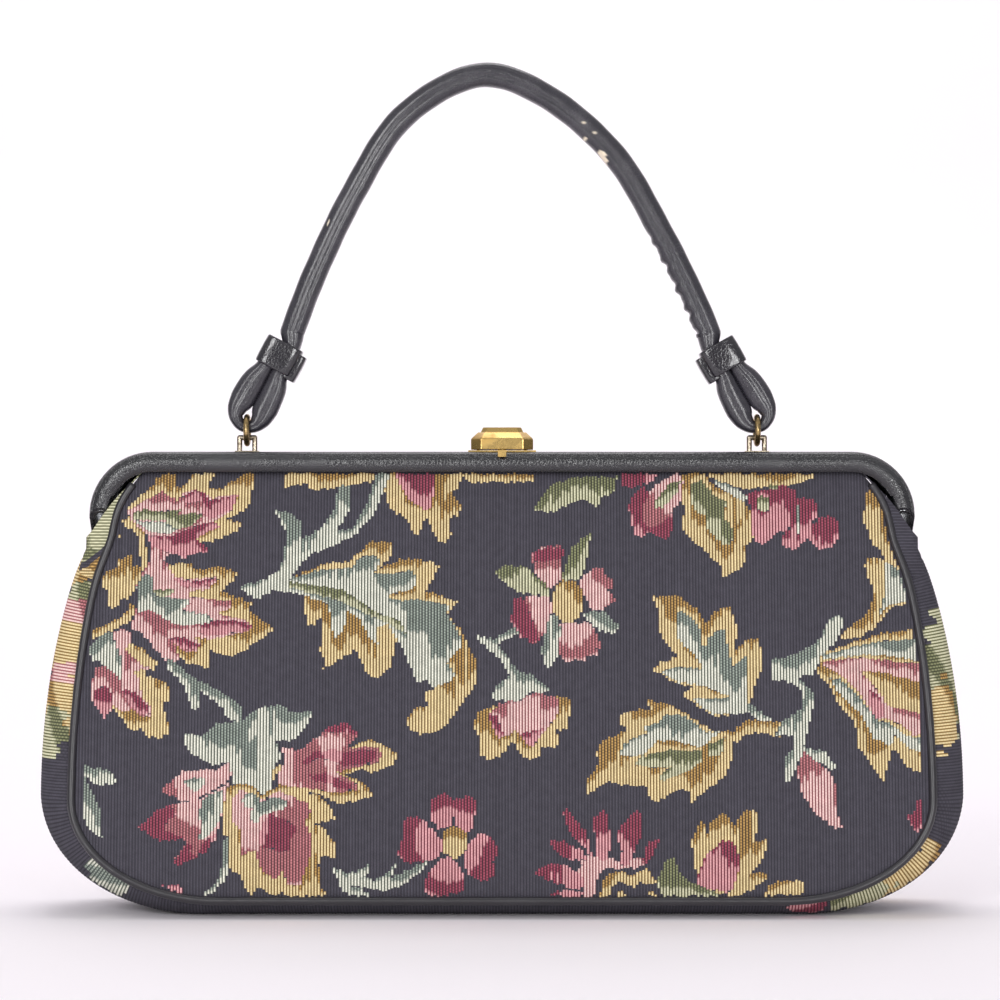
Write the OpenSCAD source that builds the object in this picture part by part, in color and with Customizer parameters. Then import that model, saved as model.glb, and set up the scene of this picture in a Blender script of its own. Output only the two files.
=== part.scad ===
// Tapestry top-handle bag: floral cloth body, black vinyl covered frame, gold clasp, rolled strap on rings
// Front is towards -Y, +Z is up, the base stands on Z = 0, X = 0 is the middle; sizes are in mm

/* [Frame] */
// Width of the closed frame over its two arms
frame_w = 280; // [250:1:300]
// Height of the frame's top above the base
frame_top = 156; // [146:1:176]
// Height of the frame bar, seen from the front
bar_h = 6.9; // [6.4:0.1:8]
// Depth of one frame half, from the meeting face to the front of its roll
half_depth = 12.2; // [11.5:0.1:14]
// Outer radius of the frame's two corners
corner_r = 21.5; // [18:0.5:24]
// Thickness of the vinyl cover
cover_t = 1; // [0.8:0.05:1.1]
// Thickness of the steel channel
channel_t = 0.8; // [0.6:0.05:1]
// Gap between the two closed halves
meet_gap = 0.6; // [0.6:0.1:1.2]
// Height from the hinge axis to the frame's top
hinge_drop = 31; // [29:1:34]
// Diameter of the hinge rivet's shaft
rivet_d = 2.8; // [2:0.1:3.2]

/* [Body] */
// Width of a panel between its side seams, where it is widest
panel_w = 288.4; // [280:1:300]
// How much a panel narrows on each side towards the frame
panel_taper = 17.2; // [16:0.2:24]
// Depth of the bag between the panel faces at the base
base_depth = 57.4; // [48:1:70]
// Thickness of a stiffened panel
panel_t = 1.6; // [1.2:0.1:2]
// Width of a panel's rounded bottom corner
corner_w = 50; // [36:1:60]
// Height of a panel's rounded bottom corner
corner_h = 34; // [26:1:40]
// Thickness of the gusset strip
gusset_t = 1.5; // [1.2:0.1:1.6]
// How far the gusset bulges out past the side seams
side_bulge = 12; // [6:0.5:14]
// How far the gusset hangs below the panels' bottom seam
base_sag = 6; // [5:0.5:9]
// Diameter of the piping
piping_d = 2.8; // [2:0.1:3]
// Thickness of the lining
lining_t = 0.8; // [0.6:0.1:1]
// Thickness of the base board
board_t = 2; // [1.5:0.1:2.4]
// How far a woven field of colour stands out from the panel
weave_t = 0.3; // [0.2:0.05:0.4]

/* [Clasp] */
// Width of the faceted lever
clasp_w = 21.2; // [19:0.2:26]
// Depth of the faceted lever
clasp_d = 15; // [14:0.5:15.5]
// Height of the faceted lever above the frame
clasp_h = 8.4; // [8:0.2:10]
// Diameter of the lever's hinge pin
pin_d = 1.6; // [1.2:0.1:1.8]

/* [Handle] */
// Distance of each ring from the middle
ring_x = 87.5; // [80:0.5:100]
// Centre line diameter of a ring
ring_d = 9.2; // [9:0.1:11]
// Wire diameter of a ring
wire_d = 2; // [1.6:0.1:2.2]
// Wire diameter of a staple
rim_d = 1.8; // [1.4:0.1:2]
// Rise of the strap's arch above the top of the rings
strap_rise = 117.2; // [100:1:140]
// Width of the strap, seen from the front
strap_w = 8.4; // [7:0.2:8.6]
// Depth of the strap
strap_d = 8; // [7:0.2:8.6]
// Lean of the strap's left end from upright, in degrees
left_lean = 28; // [20:1:34]
// Lean of the strap's right end from upright, in degrees
right_lean = 30; // [20:1:34]

/* [Hidden] */

// Clearances: a small one between fixed pieces, a larger one between moving pieces, a running fit for pins
fit_gap = 0.1;
move_gap = 0.3;
pin_fit = 0.05;
eps = 0.02;
$fn = 48;

// Frame: the roll is the round front of a bar; p runs outwards across the bar, q runs forwards from the meeting face
half_y = meet_gap / 2;
half_w = frame_w / 2;
roll_r = bar_h / 2 + 0.55;
roll_p = bar_h - roll_r;
roll_q = half_depth - roll_r;
corner_in = corner_r - bar_h;
bar_half = half_w - corner_r;
corner_z = frame_top - corner_r;
inner_z = frame_top - bar_h;
hinge_z = frame_top - hinge_drop;
arm_end_z = hinge_z + 3.5;
back_lip = 2.8;
steel_lip = 1;
tab_r = 3.2;
groove_r = 0.35;
wall_x = half_w - cover_t - fit_gap;
rivet_low = wall_x - 2 * channel_t - 2 * move_gap;
rivet_head = 0.9;
rivet_in = rivet_low - rivet_head;

// Body: u runs across a panel, v runs up its slope from the bottom seam, w runs out of its face
seam_y = base_depth / 2;
seam_z = base_sag;
tuck = 0.4;
top_y = half_y + roll_q + tuck;
tuck_z = inner_z + tuck;
slope = atan((seam_y - top_y) / (tuck_z - seam_z));
panel_h = (tuck_z - seam_z) / cos(slope);
panel_half = panel_w / 2;
side_h = panel_h - corner_h;
hinge_v = (hinge_z - seam_z) / cos(slope);
pinch_v = hinge_v - tab_r - 1.3;
waist = 1.6;
waist_h = 10;
taper_power = 2.2;
piping_r = piping_d / 2;
piping_top = panel_h - 7.8;
side_steps = 22;
corner_steps = 10;

// Handle: the strap's loop turns round the top of its ring
wire_r = wire_d / 2;
rim_r = rim_d / 2;
ring_r = ring_d / 2;
rim_z = frame_top + rim_r + wire_d + 2.1;
staple_y = half_y + roll_q / 2 + 0.1;
staple_half = wire_r + rim_r + 0.7;
ring_z = rim_z - rim_r - wire_r - 0.15 + ring_r;
strand = 1.9;
loop_r = wire_r + 0.45 + strand;
loop_z = ring_z + ring_r;
keeper_mid = 23.7;
keeper_h = 10;
keeper_w = 13.4;
keeper_d = 10.4;

// Clasp: heights are above the frame's top
plate_t = 0.5;
lever_low = plate_t + move_gap;
lever_wall = 0.9;
pin_r = pin_d / 2;
pin_y = clasp_d / 2 + 1.9;
pin_z = 2.6;
ear_r = pin_r + 0.7;
plate_half = clasp_w / 2 + 0.9;

// Closed tube through rings of points, with flat ends
module tube(rings) {
    n = len(rings[0]);
    m = len(rings);
    sides = [for (i = [0 : m - 2], j = [0 : n - 1]) each [
        [i * n + j, (i + 1) * n + j, (i + 1) * n + (j + 1) % n],
        [i * n + j, (i + 1) * n + (j + 1) % n, i * n + (j + 1) % n]]];
    first = [for (j = [0 : n - 1]) j];
    last = [for (j = [n - 1 : -1 : 0]) (m - 1) * n + j];
    polyhedron([for (ring = rings) each ring], concat(sides, [first, last]));
}

// Point at t between control points b and c of a smooth curve
function curve(a, b, c, d, t) = 0.5 * (2 * b + (c - a) * t + (2 * a - 5 * b + 4 * c - d) * t * t
    + (3 * b - a - 3 * c + d) * t * t * t);
// Smooth curve through a list of control points, with the given steps between two of them
function smooth_line(list, steps) = let (n = len(list)) concat(
    [for (i = [0 : n - 2], k = [0 : steps - 1]) curve(list[max(i - 1, 0)], list[i], list[i + 1],
        list[min(i + 2, n - 1)], k / steps)], [list[n - 1]]);
// Smooth step from 0 at a to 1 at b
function ramp(x, a, b) = let (t = min(max((x - a) / (b - a), 0), 1)) t * t * (3 - 2 * t);

// Half of a seam line as [u, v]: along the bottom, round the corner, up the side
function side_u(v) = panel_half - panel_taper * pow(max(v - corner_h, 0) / side_h, taper_power)
    - waist * exp(-pow((v - hinge_v - 2) / waist_h, 2));
function seam_half(top_v) = concat(
    [for (i = [0 : corner_steps - 1]) let (t = 90 * i / corner_steps)
        [panel_half - corner_w + corner_w * sin(t), corner_h * (1 - cos(t))]],
    [for (i = [0 : side_steps]) let (v = corner_h + (top_v - corner_h) * i / side_steps) [side_u(v), v]]);
function seam_line(top_v) = let (half = seam_half(top_v), n = len(half))
    concat([for (i = [n - 1 : -1 : 0]) [-half[i].x, half[i].y]], half);
// Outward direction of a line at its point i
function outward(line, i) = let (a = line[max(i - 1, 0)], b = line[min(i + 1, len(line) - 1)],
    d = (b - a) / norm(b - a)) [d.y, -d.x];
// A line moved outwards by a distance
function moved(line, by) = [for (i = [0 : len(line) - 1]) line[i] + by * outward(line, i)];
// Place in the bag of a point on the front panel
function on_panel(u, v, w) = [u, -seam_y + v * sin(slope) - w * cos(slope),
    seam_z + v * cos(slope) + w * sin(slope)];

module place_panel() {
    translate([0, -seam_y, seam_z]) rotate([90 - slope, 0, 0]) children();
}

// Outline of a panel: the seam line drawn in, closed at the top along the inside of the frame
module panel_shape(inset, top_cut) {
    side = moved(seam_line(panel_h + 3), -inset);
    low_v = corner_z - seam_z;
    intersection() {
        polygon(side);
        union() {
            translate([-half_w, -inset - seam_z]) square([frame_w, low_v + seam_z + inset]);
            translate([-bar_half, 0]) square([2 * bar_half, panel_h - top_cut]);
            translate([bar_half, low_v / cos(slope)]) circle(panel_h - top_cut - low_v / cos(slope));
            translate([-bar_half, low_v / cos(slope)]) circle(panel_h - top_cut - low_v / cos(slope));
        }
    }
}

module panel() {
    place_panel() translate([0, 0, -panel_t]) linear_extrude(panel_t) panel_shape(piping_r + 0.2, 0);
}

// Bulge of the gusset past the seam: sag under the base, full at the sides, drawn in beside the hinge
function bulge_at(v) = v <= 0 ? base_sag : v < corner_h
    ? base_sag + (side_bulge - base_sag) * sqrt(v / corner_h)
    : (side_bulge - 0.42 * side_bulge * pow((v - corner_h) / (hinge_v - corner_h), 2))
        * (1 - ramp(v, pinch_v - 3.5, pinch_v)) - 5 * ramp(v, pinch_v - 3.5, pinch_v + 9);
// Share of the bulge across the strip, flat in its middle half
function across(s) = min(1, (1 - pow(s, 4)) / (1 - pow(0.5, 4)));

module gusset() {
    line = seam_line(panel_h - 7);
    shares = [-1, -0.92, -0.82, -0.68, -0.5, 0.5, 0.68, 0.82, 0.92, 1];
    rings = [for (i = [0 : len(line) - 1]) let (
        end = i == 0 || i == len(line) - 1,
        out = end ? [sign(line[i].x), 0] : outward(line, i),
        u = line[i].x, v = line[i].y, b = bulge_at(v), z = seam_z + v * cos(slope),
        y = seam_y - v * sin(slope) - piping_r - 0.5)
        concat([for (s = shares) [u + out.x * b * across(s), s * y, z + out.y * b * across(s)]],
            [for (k = [len(shares) - 1 : -1 : 0]) let (r = b * across(shares[k]) - gusset_t)
                [u + out.x * r, shares[k] * y, z + out.y * r]])];
    color("#2b2a2a") tube(rings);
}

module piping() {
    line = seam_line(piping_top);
    sides = 8;
    tube([for (i = [0 : len(line) - 1]) let (out = outward(line, i))
        [for (k = [0 : sides - 1]) let (t = 360 * k / sides, p = line[i] + piping_r * cos(t) * out)
            on_panel(p.x, p.y, piping_r * sin(t))]]);
}

module front_piping() {
    color("#141416") piping();
}

module rear_piping() {
    color("#141416") mirror([0, 1, 0]) piping();
}

module front_panel() {
    color("#262528") panel();
}

module rear_panel() {
    color("#262528") mirror([0, 1, 0]) panel();
}

// Lining: an open pouch of squarish loops that follows the inside of the cloth
function pouch_loop(z, inset) = let (
    v = (z - seam_z) / cos(slope), sides = 32,
    full = v >= corner_h ? side_u(v)
        : panel_half - corner_w + corner_w * sqrt(max(0, 1 - pow((corner_h - max(v, 0)) / corner_h, 2))),
    draw = 4 + (side_u(hinge_v) - rivet_in + 8.5) * ramp(v, hinge_v - 16, hinge_v - 6),
    wide = full - draw - inset,
    deep = seam_y - v * sin(slope) - panel_t - 0.5 - inset - 0.2 * seam_y * (1 - ramp(v, -3, 5)))
    [for (k = [0 : sides - 1]) let (t = 360 * (k + 0.5) / sides, c = cos(t), s = sin(t))
        [wide * sign(c) * pow(abs(c), 0.35), deep * sign(s) * pow(abs(s), 0.35), z]];

module lining() {
    low = gusset_t + board_t + 0.6;
    high = inner_z - 1.4;
    levels = 12;
    outer = [for (i = [levels : -1 : 0]) pouch_loop(low + (high - low) * pow(i / levels, 1.5), 0)];
    inner = [for (i = [0 : levels]) let (z = low + (high - low) * pow(i / levels, 1.5))
        pouch_loop(i == 0 ? low + lining_t : max(z, low + lining_t + 0.2 * i), lining_t)];
    color("#6f5a46") tube(concat(inner, outer));
}

module base_board() {
    board_x = panel_half - corner_w - 4;
    board_y = seam_y * 0.48;
    color("#8a6f4c") translate([-board_x, -board_y, gusset_t + 0.2]) cube([2 * board_x, 2 * board_y, board_t]);
}

// Woven fields of colour: outlines drawn on the weaver's draft, whose two sheets meet in the middle of the panel
draft_pitch = 0.1114 * panel_w / 288.4;
draft_size = 1508;
function left_sheet(list) = [for (p = list) [(p.x - draft_size) * draft_pitch, (draft_size - p.y) * draft_pitch]];
function right_sheet(list) = [for (p = list) [p.x * draft_pitch, (draft_size - p.y) * draft_pitch]];

// Gold outlines: the edges of the leaves and petals
gold_left = [
    [[365, 338], [383, 308], [446, 256], [455, 235], [489, 217], [513, 220], [513, 259], [537, 259],
        [573, 217], [639, 217], [615, 244], [621, 268], [654, 265], [724, 217], [754, 217], [745, 302],
        [730, 326], [670, 356], [715, 371], [706, 392], [618, 428], [588, 425], [573, 392], [422, 377]],
    [[353, 365], [374, 353], [425, 401], [434, 498], [410, 528], [413, 483], [401, 401], [368, 377]],
    [[380, 597], [356, 597], [350, 621], [326, 627], [311, 612], [311, 573], [290, 549], [293, 522],
        [347, 504], [344, 483], [383, 470], [383, 501], [419, 504], [410, 543], [395, 576]],
    [[383, 615], [401, 633], [386, 664], [277, 721], [265, 715], [271, 694], [302, 688], [368, 648]],
    [[341, 410], [350, 398], [341, 434]],
    [[498, 498], [567, 492], [579, 516], [648, 504], [706, 522], [697, 543], [651, 579], [754, 615],
        [742, 633], [817, 694], [724, 763], [688, 772], [648, 766], [621, 748], [624, 808], [561, 796],
        [522, 760], [483, 694], [452, 603]],
    [[362, 724], [422, 754], [467, 796], [458, 814], [422, 817], [437, 835], [498, 860], [510, 881],
        [504, 905], [483, 911], [510, 1001], [483, 1019], [446, 1016], [422, 992], [392, 998], [332, 923],
        [332, 844]],
    [[875, 534], [980, 492], [1041, 492], [1110, 428], [1170, 431], [1173, 467], [1131, 516], [1200, 483],
        [1252, 480], [1318, 501], [1279, 579], [1372, 609], [1339, 651], [1381, 694], [1433, 799],
        [1427, 860], [1342, 980], [1312, 1001], [1267, 1010], [1237, 1001], [1215, 971], [1252, 932],
        [1291, 926], [1279, 911], [1279, 887], [1327, 857], [1267, 784], [1191, 724], [1170, 808],
        [1146, 832], [1122, 838], [1098, 820], [1068, 754], [968, 814], [977, 787], [959, 757], [968, 645],
        [941, 679], [920, 682], [911, 627], [911, 597], [965, 558]],
    [[847, 214], [1122, 214], [1119, 238], [941, 268], [920, 262], [914, 247], [847, 259]],
    [[1381, 214], [1608, 214], [1608, 241], [1405, 241]],
    [[1149, 256], [1164, 214], [1387, 214], [1375, 265], [1351, 271], [1384, 320], [1372, 347], [1348, 350],
        [1354, 407], [1339, 428], [1315, 422], [1279, 356], [1267, 362], [1258, 401], [1240, 401],
        [1212, 344], [1185, 338], [1164, 317]],
    [[1044, 1056], [1104, 1028], [1134, 1034], [1194, 1074], [1185, 1095], [1131, 1125], [1086, 1116],
        [1031, 1128], [1092, 1155], [1113, 1173], [1119, 1194], [1041, 1215], [1007, 1212], [959, 1188],
        [838, 1176], [832, 1128], [820, 1146], [820, 1110], [838, 1104], [905, 1116]],
    [[682, 1164], [742, 1158], [790, 1194], [832, 1170], [920, 1185], [959, 1197], [989, 1224],
        [1007, 1261], [947, 1279], [971, 1291], [1010, 1342], [1007, 1375], [971, 1375], [959, 1393],
        [962, 1463], [980, 1487], [977, 1508], [875, 1496], [844, 1472], [838, 1493], [778, 1466],
        [760, 1490], [742, 1475], [724, 1427], [700, 1424], [688, 1399], [682, 1357], [691, 1321],
        [670, 1303], [667, 1252]],
];
gold_right = [
    [[-84, 971], [-72, 947], [-12, 923], [151, 896], [181, 896], [211, 914], [193, 992], [160, 998],
        [169, 1025], [163, 1053], [121, 1044], [115, 1074], [90, 1083], [60, 1077], [33, 1031], [-6, 1077],
        [-45, 1083], [-66, 1068], [-66, 1019], [-84, 995]],
    [[531, 235], [573, 214], [615, 214], [633, 247], [730, 302], [754, 338], [766, 386], [760, 425],
        [733, 437], [739, 483], [724, 507], [670, 534], [664, 501], [555, 398], [543, 368], [555, 332]],
    [[618, 214], [959, 214], [929, 238], [844, 262], [808, 253], [754, 265], [648, 235]],
    [[1104, 277], [1122, 271], [1146, 290], [1164, 326], [1206, 452], [1237, 603], [1212, 621], [1185, 621],
        [1116, 694], [1086, 712], [1019, 724], [1031, 700], [1092, 657], [1116, 621], [1128, 585],
        [1098, 501], [1110, 477], [1134, 474], [1164, 492], [1152, 452], [1128, 437], [1098, 362]],
    [[455, 597], [519, 591], [558, 609], [591, 636], [618, 679], [639, 645], [670, 627], [688, 630],
        [712, 694], [697, 769], [736, 730], [778, 724], [784, 814], [754, 881], [751, 914], [670, 956],
        [633, 953], [543, 893], [555, 878], [591, 869], [519, 854], [458, 817], [477, 796], [531, 778],
        [489, 730], [474, 694], [474, 639]],
    [[256, 1191], [253, 1146], [287, 1107], [284, 1062], [302, 1031], [377, 998], [356, 977], [353, 953],
        [416, 935], [452, 941], [434, 911], [507, 923], [633, 1001], [697, 1004], [691, 1086], [670, 1134],
        [567, 1212], [561, 1176], [531, 1176], [458, 1212], [440, 1197], [440, 1161], [398, 1167],
        [317, 1152]],
    [[688, 1010], [724, 977], [760, 965], [838, 977], [838, 1016], [760, 1004], [730, 1010], [700, 1038]],
    [[965, 769], [1140, 706], [1243, 694], [1267, 700], [1288, 875], [1294, 1119], [1243, 1122],
        [1215, 1101], [1176, 1044], [1146, 1146], [1128, 1128], [1068, 1044], [1062, 971], [1019, 929],
        [989, 869], [950, 823]],
    [[293, 1508], [296, 1448], [338, 1418], [386, 1433], [428, 1411], [464, 1448], [452, 1460], [410, 1448],
        [392, 1466], [344, 1448], [329, 1466], [320, 1508]],
    [[344, 1478], [392, 1493], [398, 1508], [356, 1508]],
    [[434, 1481], [458, 1484], [464, 1508], [434, 1508]],
    [[567, 1333], [594, 1270], [609, 1279], [615, 1309], [624, 1279], [664, 1243], [685, 1267], [694, 1303],
        [700, 1273], [718, 1252], [739, 1240], [760, 1243], [769, 1279], [751, 1333], [793, 1327],
        [790, 1357], [778, 1387], [739, 1427], [784, 1424], [796, 1436], [748, 1472], [694, 1493],
        [585, 1466]],
    [[784, 1490], [796, 1466], [826, 1451], [896, 1448], [905, 1463], [902, 1484]],
];
// Rose fields: the soft red hearts of the leaves and the pale petals
rose_left = [
    [[368, 332], [474, 271], [519, 299], [543, 274], [573, 265], [603, 274], [621, 293], [706, 280],
        [688, 329], [633, 365], [651, 380], [579, 416], [621, 452], [543, 474], [498, 461], [458, 513],
        [443, 513], [446, 446], [431, 407], [380, 359]],
    [[440, 483], [489, 492], [519, 534], [558, 543], [642, 534], [651, 543], [618, 573], [567, 576],
        [558, 594], [688, 609], [694, 624], [648, 648], [739, 670], [754, 685], [745, 700], [618, 724],
        [579, 715], [597, 739], [588, 757], [549, 760], [519, 736], [534, 778], [522, 799], [501, 796],
        [416, 700], [389, 688], [395, 642], [416, 603], [401, 561]],
    [[326, 706], [362, 694], [383, 703], [383, 739], [368, 754], [422, 802], [452, 811], [392, 820],
        [416, 844], [422, 899], [446, 920], [452, 953], [422, 956], [392, 935], [368, 944], [338, 923],
        [311, 962], [274, 914], [268, 875], [280, 808], [317, 808], [338, 754]],
    [[483, 1179], [549, 1122], [651, 1119], [685, 1098], [697, 1131], [679, 1155], [591, 1206],
        [555, 1209]],
    [[419, 1288], [483, 1231], [627, 1197], [688, 1155], [651, 1327], [585, 1381], [543, 1399], [525, 1390],
        [561, 1339], [555, 1321], [483, 1327]],
    [[847, 1056], [905, 1059], [995, 986], [1041, 980], [1077, 1013], [1044, 1041], [1062, 1056],
        [1098, 1044], [1134, 1053], [1146, 1071], [1134, 1095], [1013, 1125], [1071, 1158], [1080, 1176],
        [1019, 1185], [841, 1161], [838, 1122], [857, 1092]],
    [[700, 1206], [724, 1176], [790, 1206], [838, 1182], [923, 1215], [935, 1243], [917, 1273], [935, 1312],
        [938, 1357], [905, 1463], [869, 1460], [851, 1418], [832, 1442], [802, 1430], [778, 1393],
        [772, 1357], [724, 1372], [724, 1297], [700, 1267]],
];
rose_right = [
    [[87, 470], [115, 458], [121, 443], [181, 443], [190, 461], [175, 483], [178, 543], [139, 573],
        [100, 519]],
    [[33, 603], [136, 594], [151, 618], [151, 679], [109, 730], [87, 739], [78, 718], [54, 715], [24, 664],
        [36, 639]],
    [[169, 682], [205, 670], [235, 679], [262, 670], [302, 742], [284, 754], [287, 775], [259, 772],
        [247, 793], [226, 781], [196, 793], [169, 760]],
    [[229, 549], [277, 507], [308, 510], [314, 531], [338, 549], [332, 567], [314, 573], [344, 606],
        [302, 636], [271, 636]],
    [[-39, 950], [-6, 920], [106, 887], [175, 905], [175, 941], [90, 1050], [36, 995], [21, 1016],
        [-9, 1019], [-30, 989]],
    [[437, 287], [467, 253], [531, 217], [552, 241], [543, 296], [483, 377], [446, 386], [422, 362],
        [422, 317]],
    [[908, 1062], [986, 1128], [1001, 1161], [1004, 1249], [1022, 1291], [1001, 1291], [941, 1249],
        [896, 1182], [884, 1116]],
    [[953, 793], [1086, 778], [1279, 799], [1285, 857], [1131, 820], [1080, 820], [1140, 887], [1158, 923],
        [1291, 953], [1291, 1004], [1243, 1016], [1206, 983], [1164, 965], [1125, 965], [1074, 881],
        [1031, 838]],
    [[229, 1381], [271, 1375], [368, 1393], [404, 1381], [428, 1393], [404, 1408], [302, 1411], [287, 1433],
        [271, 1508], [241, 1496], [241, 1442], [223, 1424], [241, 1405]],
];
// Crimson fields: the dark red flowers
crimson_left = [
    [[591, 293], [621, 299], [706, 280], [688, 329], [621, 359], [600, 341]],
    [[431, 407], [498, 410], [603, 368], [636, 365], [651, 380], [579, 416], [621, 452], [543, 474],
        [458, 446], [443, 437]],
    [[537, 287], [573, 265], [603, 274], [615, 296], [549, 311]],
    [[513, 534], [558, 549], [645, 537], [627, 555], [588, 567], [537, 561]],
    [[603, 676], [664, 664], [724, 670], [754, 685], [724, 700], [618, 715], [591, 700]],
    [[498, 724], [537, 715], [597, 739], [588, 754], [549, 757]],
    [[277, 875], [314, 863], [332, 890], [332, 923], [311, 962], [274, 914]],
    [[356, 875], [398, 881], [440, 923], [449, 950], [422, 953], [392, 929]],
    [[419, 1288], [483, 1231], [519, 1228], [531, 1252], [504, 1267], [498, 1297], [555, 1321],
        [483, 1327]],
    [[561, 1342], [582, 1339], [573, 1360], [594, 1375], [543, 1399], [525, 1390]],
    [[615, 1333], [661, 1300], [621, 1360], [597, 1369]],
    [[971, 1001], [995, 986], [1041, 980], [1077, 1013]],
    [[905, 1092], [950, 1062], [1010, 1056], [1041, 1065], [1092, 1056], [1128, 1062], [1134, 1080],
        [1110, 1095], [1031, 1107], [1001, 1089], [953, 1083], [920, 1104]],
    [[929, 1134], [980, 1128], [1056, 1164], [1056, 1176], [1019, 1176], [995, 1158], [950, 1152]],
    [[790, 1273], [814, 1249], [875, 1273], [893, 1294], [869, 1333], [875, 1357], [844, 1363], [820, 1351],
        [790, 1354], [781, 1321]],
    [[1182, 214], [1303, 214], [1297, 317], [1279, 332], [1221, 296]],
    [[1466, 953], [1490, 953], [1514, 1013], [1493, 1019]],
    [[1297, 1206], [1339, 1188], [1357, 1206], [1357, 1285], [1320, 1294], [1297, 1267]],
    [[1363, 1209], [1411, 1197], [1433, 1215], [1421, 1291], [1399, 1303], [1372, 1285], [1360, 1252]],
    [[1209, 1285], [1224, 1264], [1252, 1258], [1276, 1267], [1288, 1288], [1310, 1307], [1330, 1333],
        [1324, 1372], [1297, 1390], [1215, 1393], [1197, 1366], [1200, 1339], [1215, 1321]],
    [[1279, 1448], [1291, 1418], [1321, 1387], [1351, 1375], [1381, 1405], [1399, 1445], [1399, 1478],
        [1354, 1484], [1327, 1502], [1297, 1499], [1279, 1478]],
    [[1405, 1345], [1436, 1312], [1460, 1309], [1484, 1327], [1496, 1357], [1481, 1393], [1484, 1427],
        [1460, 1448], [1427, 1442], [1405, 1421], [1390, 1387]],
    [[474, 1466], [537, 1460], [564, 1496], [483, 1484]],
];
crimson_right = [
    [[54, 1010], [124, 995], [90, 1050], [69, 1038]],
    [[87, 470], [142, 437], [160, 449], [181, 443], [190, 461], [175, 483], [103, 489]],
    [[33, 603], [45, 597], [72, 609], [112, 724], [87, 739], [78, 718], [54, 715], [24, 664], [36, 639]],
    [[362, 214], [483, 214], [452, 241], [392, 259], [368, 256]],
    [[383, 317], [407, 274], [437, 259], [446, 284], [425, 317], [425, 362], [449, 386], [483, 374],
        [519, 338], [522, 374], [507, 413], [483, 419], [452, 392], [422, 413], [401, 407]],
    [[739, 287], [769, 271], [808, 271], [820, 256], [860, 253], [890, 271], [896, 302], [875, 356],
        [881, 374], [860, 392], [829, 398], [799, 431], [769, 428], [754, 392], [754, 317]],
    [[884, 308], [905, 293], [935, 296], [962, 311], [962, 341], [941, 362], [950, 383], [905, 437],
        [875, 449], [851, 437], [844, 410], [875, 388], [868, 350]],
    [[938, 386], [959, 359], [989, 350], [1019, 362], [1025, 392], [1013, 428], [983, 449], [950, 443],
        [932, 419]],
    [[1218, 1255], [1240, 1243], [1240, 1215], [1261, 1209], [1285, 1224], [1291, 1261], [1270, 1300],
        [1243, 1300], [1221, 1279]],
    [[1104, 875], [1128, 887], [1146, 917], [1146, 959], [1125, 965], [1107, 923]],
    [[181, 1243], [193, 1237], [253, 1306], [271, 1378], [199, 1297]],
    [[271, 1267], [302, 1234], [317, 1255], [326, 1345], [311, 1387], [287, 1387]],
    [[344, 1321], [350, 1297], [392, 1243], [410, 1243], [422, 1267], [419, 1309], [374, 1405], [356, 1399],
        [359, 1357]],
    [[428, 1357], [440, 1333], [477, 1321], [437, 1393], [422, 1387]],
    [[142, 1327], [190, 1333], [241, 1363], [253, 1387], [196, 1381], [151, 1351]],
    [[93, 1427], [145, 1396], [181, 1399], [241, 1436], [247, 1466], [217, 1472]],
    [[133, 1505], [151, 1484], [181, 1478], [247, 1484], [247, 1508]],
    [[579, 1448], [609, 1369], [664, 1327], [694, 1333], [715, 1393], [691, 1472], [670, 1484], [639, 1472],
        [603, 1475], [579, 1466]],
];
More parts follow.
